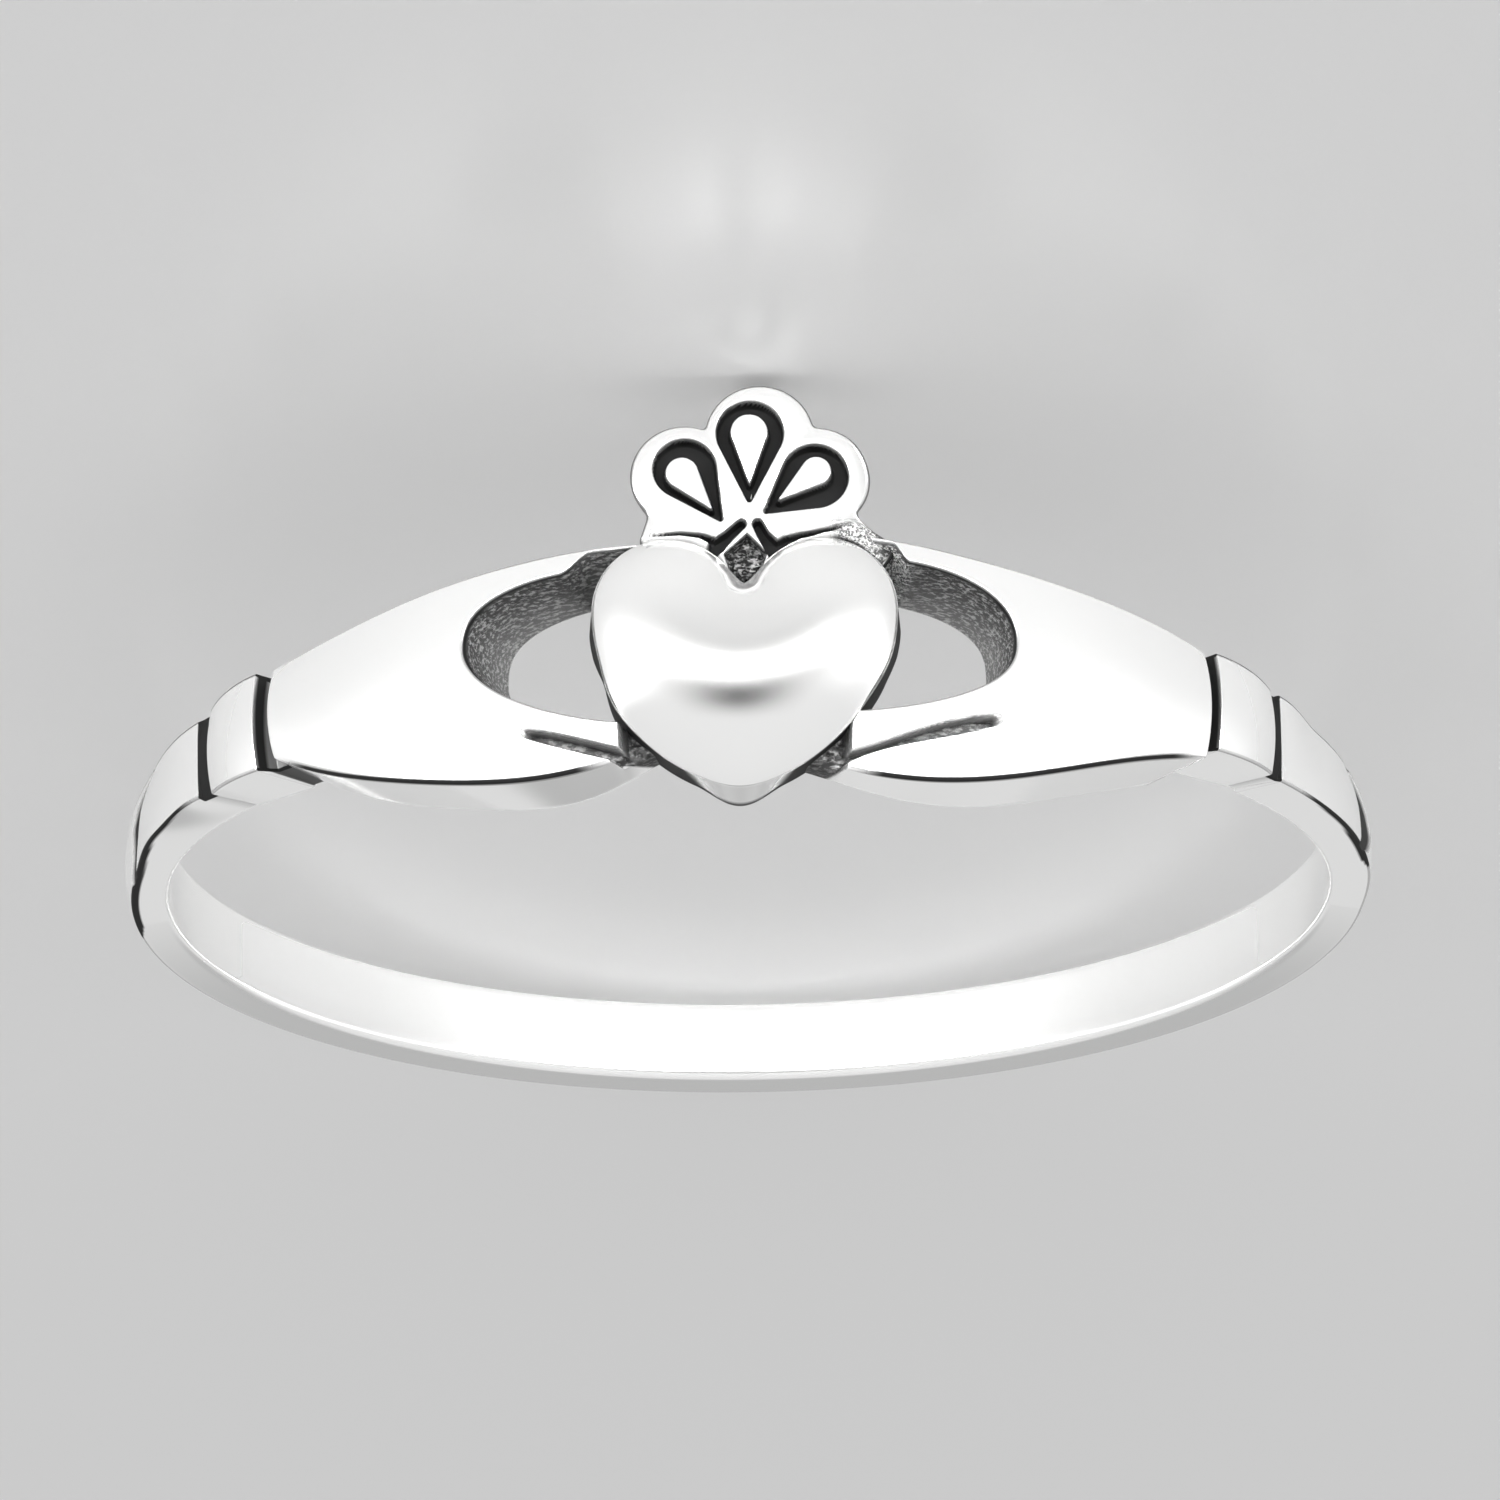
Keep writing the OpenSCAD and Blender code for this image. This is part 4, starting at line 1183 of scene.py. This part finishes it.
class Graph:
    """The nodes of a material or a world, and the one method that adds to them."""

    def __init__(self, owner):
        owner.use_nodes = True
        self.owner, self.tree = owner, owner.node_tree
        self.tree.nodes.clear()

    def make(self, kind, settings=None, sockets=None):
        """A node of a type, its settings first, then the values or links of its sockets."""
        node = self.tree.nodes.new(kind)
        for key, value in (settings or {}).items():
            setattr(node, key, value)
        for key, value in (sockets or {}).items():
            if isinstance(value, Wire):
                self.tree.links.new(value.socket, node.inputs[key])
            else:
                node.inputs[key].default_value = value
        return node

    def out(self, node, socket=0):
        """One of a node's outputs, ready for sums."""
        return Wire(self, node.outputs[socket])

    def read(self, mark):
        """A number that the mesh carries at its points."""
        node = self.make("ShaderNodeAttribute", dict(attribute_name=mark))
        return self.out(node, "Fac")

    def noise(self, place, scale, detail, rough=0.55, stretch=(1, 1, 1)):
        """Noise of about this many grains a metre, drawn out where its stretch is under 1."""
        spread = self.make("ShaderNodeMapping", None, {"Vector": place, "Scale": stretch})
        node = self.make("ShaderNodeTexNoise", None, {
            "Vector": self.out(spread), "Scale": scale, "Detail": detail, "Roughness": rough})
        return self.out(node, 0)


print("operators of a wire:", [name for name in vars(Wire) if name.startswith("__r")])

# %% [markdown]
# ## Silver
#
# Sterling silver mirrors nearly all light. What makes this ring read as silver is contrast:
# the raised metal is polished, and the grooves and the openings' walls are oxidised black,
# because a maker dips the whole ring and then polishes off what the wheel can reach.
#
# One shader could go from bright to black by its colour alone, but a black metal still
# mirrors at a slant and turns grey there. So two shaders are mixed: a bright one for the
# metal and a matt one for the oxide, which hardly mirrors. The `tarnish` mark is the share
# of the oxide, and the `line` mark adds painted dark reflection and painted shade along
# edges through the same matt black. Where the `cast` mark is on, fine noise wears the oxide
# off in spots and roughens the metal. `buffed` makes the heart, and its lower half most, a
# harder mirror than the rest, which has many fine scratches and so a little of the white
# sheen of satin.

# %% Silver material
# Colours, metal shares, roughnesses, noise per metre, and the noise that wears oxide off
POLISHED, OXIDE = (0.95, 0.95, 0.945, 1), (0.014, 0.014, 0.014, 1)
MIRROR, BUFFED_GAIN = 0.72, 0.11
BASE_ROUGH, HAZE_ROUGH, CAST_ROUGH, OXIDE_ROUGH = 0.10, 0.04, 0.22, 0.3
MATT_ROUGH, MATT_SHEEN = 0.7, 0.15
GRIT_SCALE, SPECKLE_SCALE, HAZE_SCALE = 20000, 34000, 420
GRIT_WORN, SPECKLE_WORN = (0.46, 0.66), (0.505, 0.545)
BUMP_HEIGHT = 0.00002


def make_silver():
    """Black = (tarnish (1 - worn) + line); the shader is bright (1 - black) + matt black."""
    finish = Graph(bpy.data.materials.new("silver_polished"))
    place = finish.out(finish.make("ShaderNodeTexCoord"), "Object")
    tarnish, cast, line, buffed = (finish.read(mark) for mark in MARKS)
    grit = finish.noise(place, GRIT_SCALE, 3.0, 0.65, stretch=(0.4, 1, 1))
    speckle = finish.noise(place, SPECKLE_SCALE, 2.0, 0.6)
    haze = finish.noise(place, HAZE_SCALE, 2.0)
    worn = (cast * grit.step(*GRIT_WORN) * 0.5
            + (cast - 1).clamp() * speckle.step(*SPECKLE_WORN))
    # line is painted dark reflection and painted shade along edges, mixed in as the oxide is
    black = (tarnish - worn * tarnish + line).clamp()
    rough = black * OXIDE_ROUGH + cast * CAST_ROUGH + haze * HAZE_ROUGH + BASE_ROUGH
    bump = finish.out(finish.make("ShaderNodeBump", None, {
        "Strength": 1.0, "Distance": BUMP_HEIGHT, "Height": cast * (grit + speckle * 0.5)}))
    bright = finish.make("ShaderNodeBsdfPrincipled", None, {
        "Base Color": POLISHED, "Metallic": buffed * BUFFED_GAIN + MIRROR,
        "Roughness": rough, "Normal": bump})
    matt = finish.make("ShaderNodeBsdfPrincipled", None, {
        "Base Color": OXIDE, "Roughness": MATT_ROUGH, "Specular IOR Level": MATT_SHEEN,
        "Normal": bump})
    shader = finish.make("ShaderNodeMixShader", None, {
        0: black, 1: finish.out(bright), 2: finish.out(matt)})
    finish.make("ShaderNodeOutputMaterial", None, {"Surface": finish.out(shader)})
    return finish.owner


silver = make_silver()
pieces = [*hands, shank, heart, crown]
for piece in pieces:
    piece.data.materials.append(silver)
    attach(piece, "root")
    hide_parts("ring")
print("pieces:", [piece.name for piece in pieces])

# %% [markdown]
# ## Camera
#
# The photograph was taken with a long lens, a little below the ring's own middle plane, and
# then hung upright. Seen from the table on which the ring lies, that same view comes from
# above, with the camera rolled over. The upright camera is turned with the same `lay_down`
# as every point, so the picture matches while the ring rests as it would by itself.

# %% Camera
FOCAL_PX, PICTURE_PX, SENSOR_MM = 17383.54, 1500, 36.0
CAMERA_AWAY_MM, CAMERA_BELOW, CAMERA_ROLL = 259.5, math.radians(18.9697), math.radians(-0.8246)
SHIFT_PX = (-1.7254, 107.3537)
NEAREST, FARTHEST = 0.01, 10

back = np.array([0, -math.cos(CAMERA_BELOW), -math.sin(CAMERA_BELOW)])
right = np.array([1.0, 0, 0])
up = np.cross(back, right)
rolled_right = math.cos(CAMERA_ROLL) * right + math.sin(CAMERA_ROLL) * up
rolled_up = math.cos(CAMERA_ROLL) * up - math.sin(CAMERA_ROLL) * right
axes = [Vector(lay_down(v) / MM) for v in (rolled_right, rolled_up, back)]

camera = bpy.data.objects.new("camera", bpy.data.cameras.new("camera"))
bpy.context.scene.collection.objects.link(camera)
bpy.context.scene.camera = camera
camera.matrix_world = Matrix.Translation(Vector(lay_down(back * CAMERA_AWAY_MM))) @ (
    Matrix(axes).transposed().to_4x4())
camera.data.sensor_width = SENSOR_MM
camera.data.lens = FOCAL_PX * SENSOR_MM / PICTURE_PX
camera.data.shift_x, camera.data.shift_y = -SHIFT_PX[0] / PICTURE_PX, SHIFT_PX[1] / PICTURE_PX
camera.data.clip_start, camera.data.clip_end = NEAREST, FARTHEST
print("camera at, mm:", [round(v * 1000, 1) for v in camera.location],
      "lens", round(camera.data.lens, 1), "mm")

# %% [markdown]
# ## Table
#
# The table is one pale square, right under the crown's top and the band's back. It has a
# slight gloss, and it is much wider than the ring, so that its end never shows in the silver.

# %% Table
FLOOR_Z = min(corner[2] for corner in cad_box)
FLOOR_HALF, FLOOR_TONE, FLOOR_ROUGH, FLOOR_IOR = 3.0, (0.79, 0.79, 0.79, 1), 0.25, 1.6


def make_table():
    """Four corners: half times (-1 or 1, -1 or 1), at the lowest height of the ring."""
    corners = FLOOR_HALF * np.array([[-1, -1], [1, -1], [1, 1], [-1, 1]])
    mesh = bpy.data.meshes.new("table")
    mesh.from_pydata(np.c_[corners, np.full(4, FLOOR_Z)], [], [[0, 1, 2, 3]])
    table = bpy.data.objects.new("table", mesh)
    bpy.context.scene.collection.objects.link(table)
    finish = Graph(bpy.data.materials.new("table_pale"))
    shader = finish.make("ShaderNodeBsdfPrincipled", None, {
        "Base Color": FLOOR_TONE, "Roughness": FLOOR_ROUGH, "IOR": FLOOR_IOR})
    finish.make("ShaderNodeOutputMaterial", None, {"Surface": finish.out(shader)})
    mesh.materials.append(finish.owner)
    table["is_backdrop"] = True
    return table


table = make_table()
print("table at height", round(FLOOR_Z * 1000, 2), "mm")

# %% [markdown]
# ## Light
#
# Polished silver shows its surroundings and little else, so the room is the finish. It is a
# white tent, written as brightness by direction. Bright panels stand low on both sides. A
# very bright strip lies along the ground ahead: the heart's middle mirrors it, and the table
# passes it on to the ring's front. Over it hangs a dark strip, which gives the heart its
# grey band, and the cloth behind is a little greyer than the rest.

# %% Room
ROOM, SIDE_PANELS, LOW_STRIP, DARK_STRIP, BACK_CLOTH = 0.93, 1.0, 42.0, 0.93, 0.42
# Degrees between which each part fades in or out: turned from the front, or over the ground
SIDE_IN, SIDE_OUT, SIDE_TOP = (36, 60), (105, 125), (8, 22)
LOW_WIDE, LOW_TOP = (42, 84), (2, 6)
DARK_WIDE, DARK_FOOT, DARK_TOP = (0, 44), (6, 17), (19, 31)
CLOTH_IN, CLOTH_FOOT, CLOTH_TOP = (120, 150), (8, 16), (24, 42)

scene = bpy.context.scene
scene.view_settings.view_transform = "Standard"
scene.world = bpy.data.worlds.new("room")


def light_room(world):
    """Brightness from a direction's height over the ground and its turn from the front."""
    room = Graph(world)
    split = room.make("ShaderNodeSeparateXYZ", None, {
        0: room.out(room.make("ShaderNodeTexCoord"), "Generated")})
    x, y, z = (room.out(split, axis) for axis in "XYZ")
    height = z.maths("ARCSINE", z) * math.degrees(1)
    turn = x.maths("ARCTAN2", x.maths("ABSOLUTE", x), y * -1) * math.degrees(1)
    sides = turn.step(*SIDE_IN) * (1 - turn.step(*SIDE_OUT)) * (1 - height.step(*SIDE_TOP))
    low = (1 - turn.step(*LOW_WIDE)) * (1 - height.step(*LOW_TOP))
    dark = (1 - turn.step(*DARK_WIDE)) * height.step(*DARK_FOOT) * (1 - height.step(*DARK_TOP))
    cloth = turn.step(*CLOTH_IN) * height.step(*CLOTH_FOOT) * (1 - height.step(*CLOTH_TOP))
    bright = (sides * SIDE_PANELS + low * LOW_STRIP + ROOM
              - dark * DARK_STRIP - cloth * BACK_CLOTH)
    background = room.make("ShaderNodeBackground", None, {"Strength": bright})
    room.make("ShaderNodeOutputWorld", None, {"Surface": room.out(background)})


light_room(scene.world)
print("nodes of the room:", len(scene.world.node_tree.nodes))

# %% [markdown]
# ## Measure and finish
#
# The last step measures what was made and prints its box, to set beside the solid model's
# box printed at the start, because a finer surface must not change the ring's size.

# %% Measure and finish
bpy.context.view_layer.update()
visual_box = [list(corner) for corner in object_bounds()]
print("visual model, mm:", [[round(v * 1000, 2) for v in corner] for corner in visual_box])
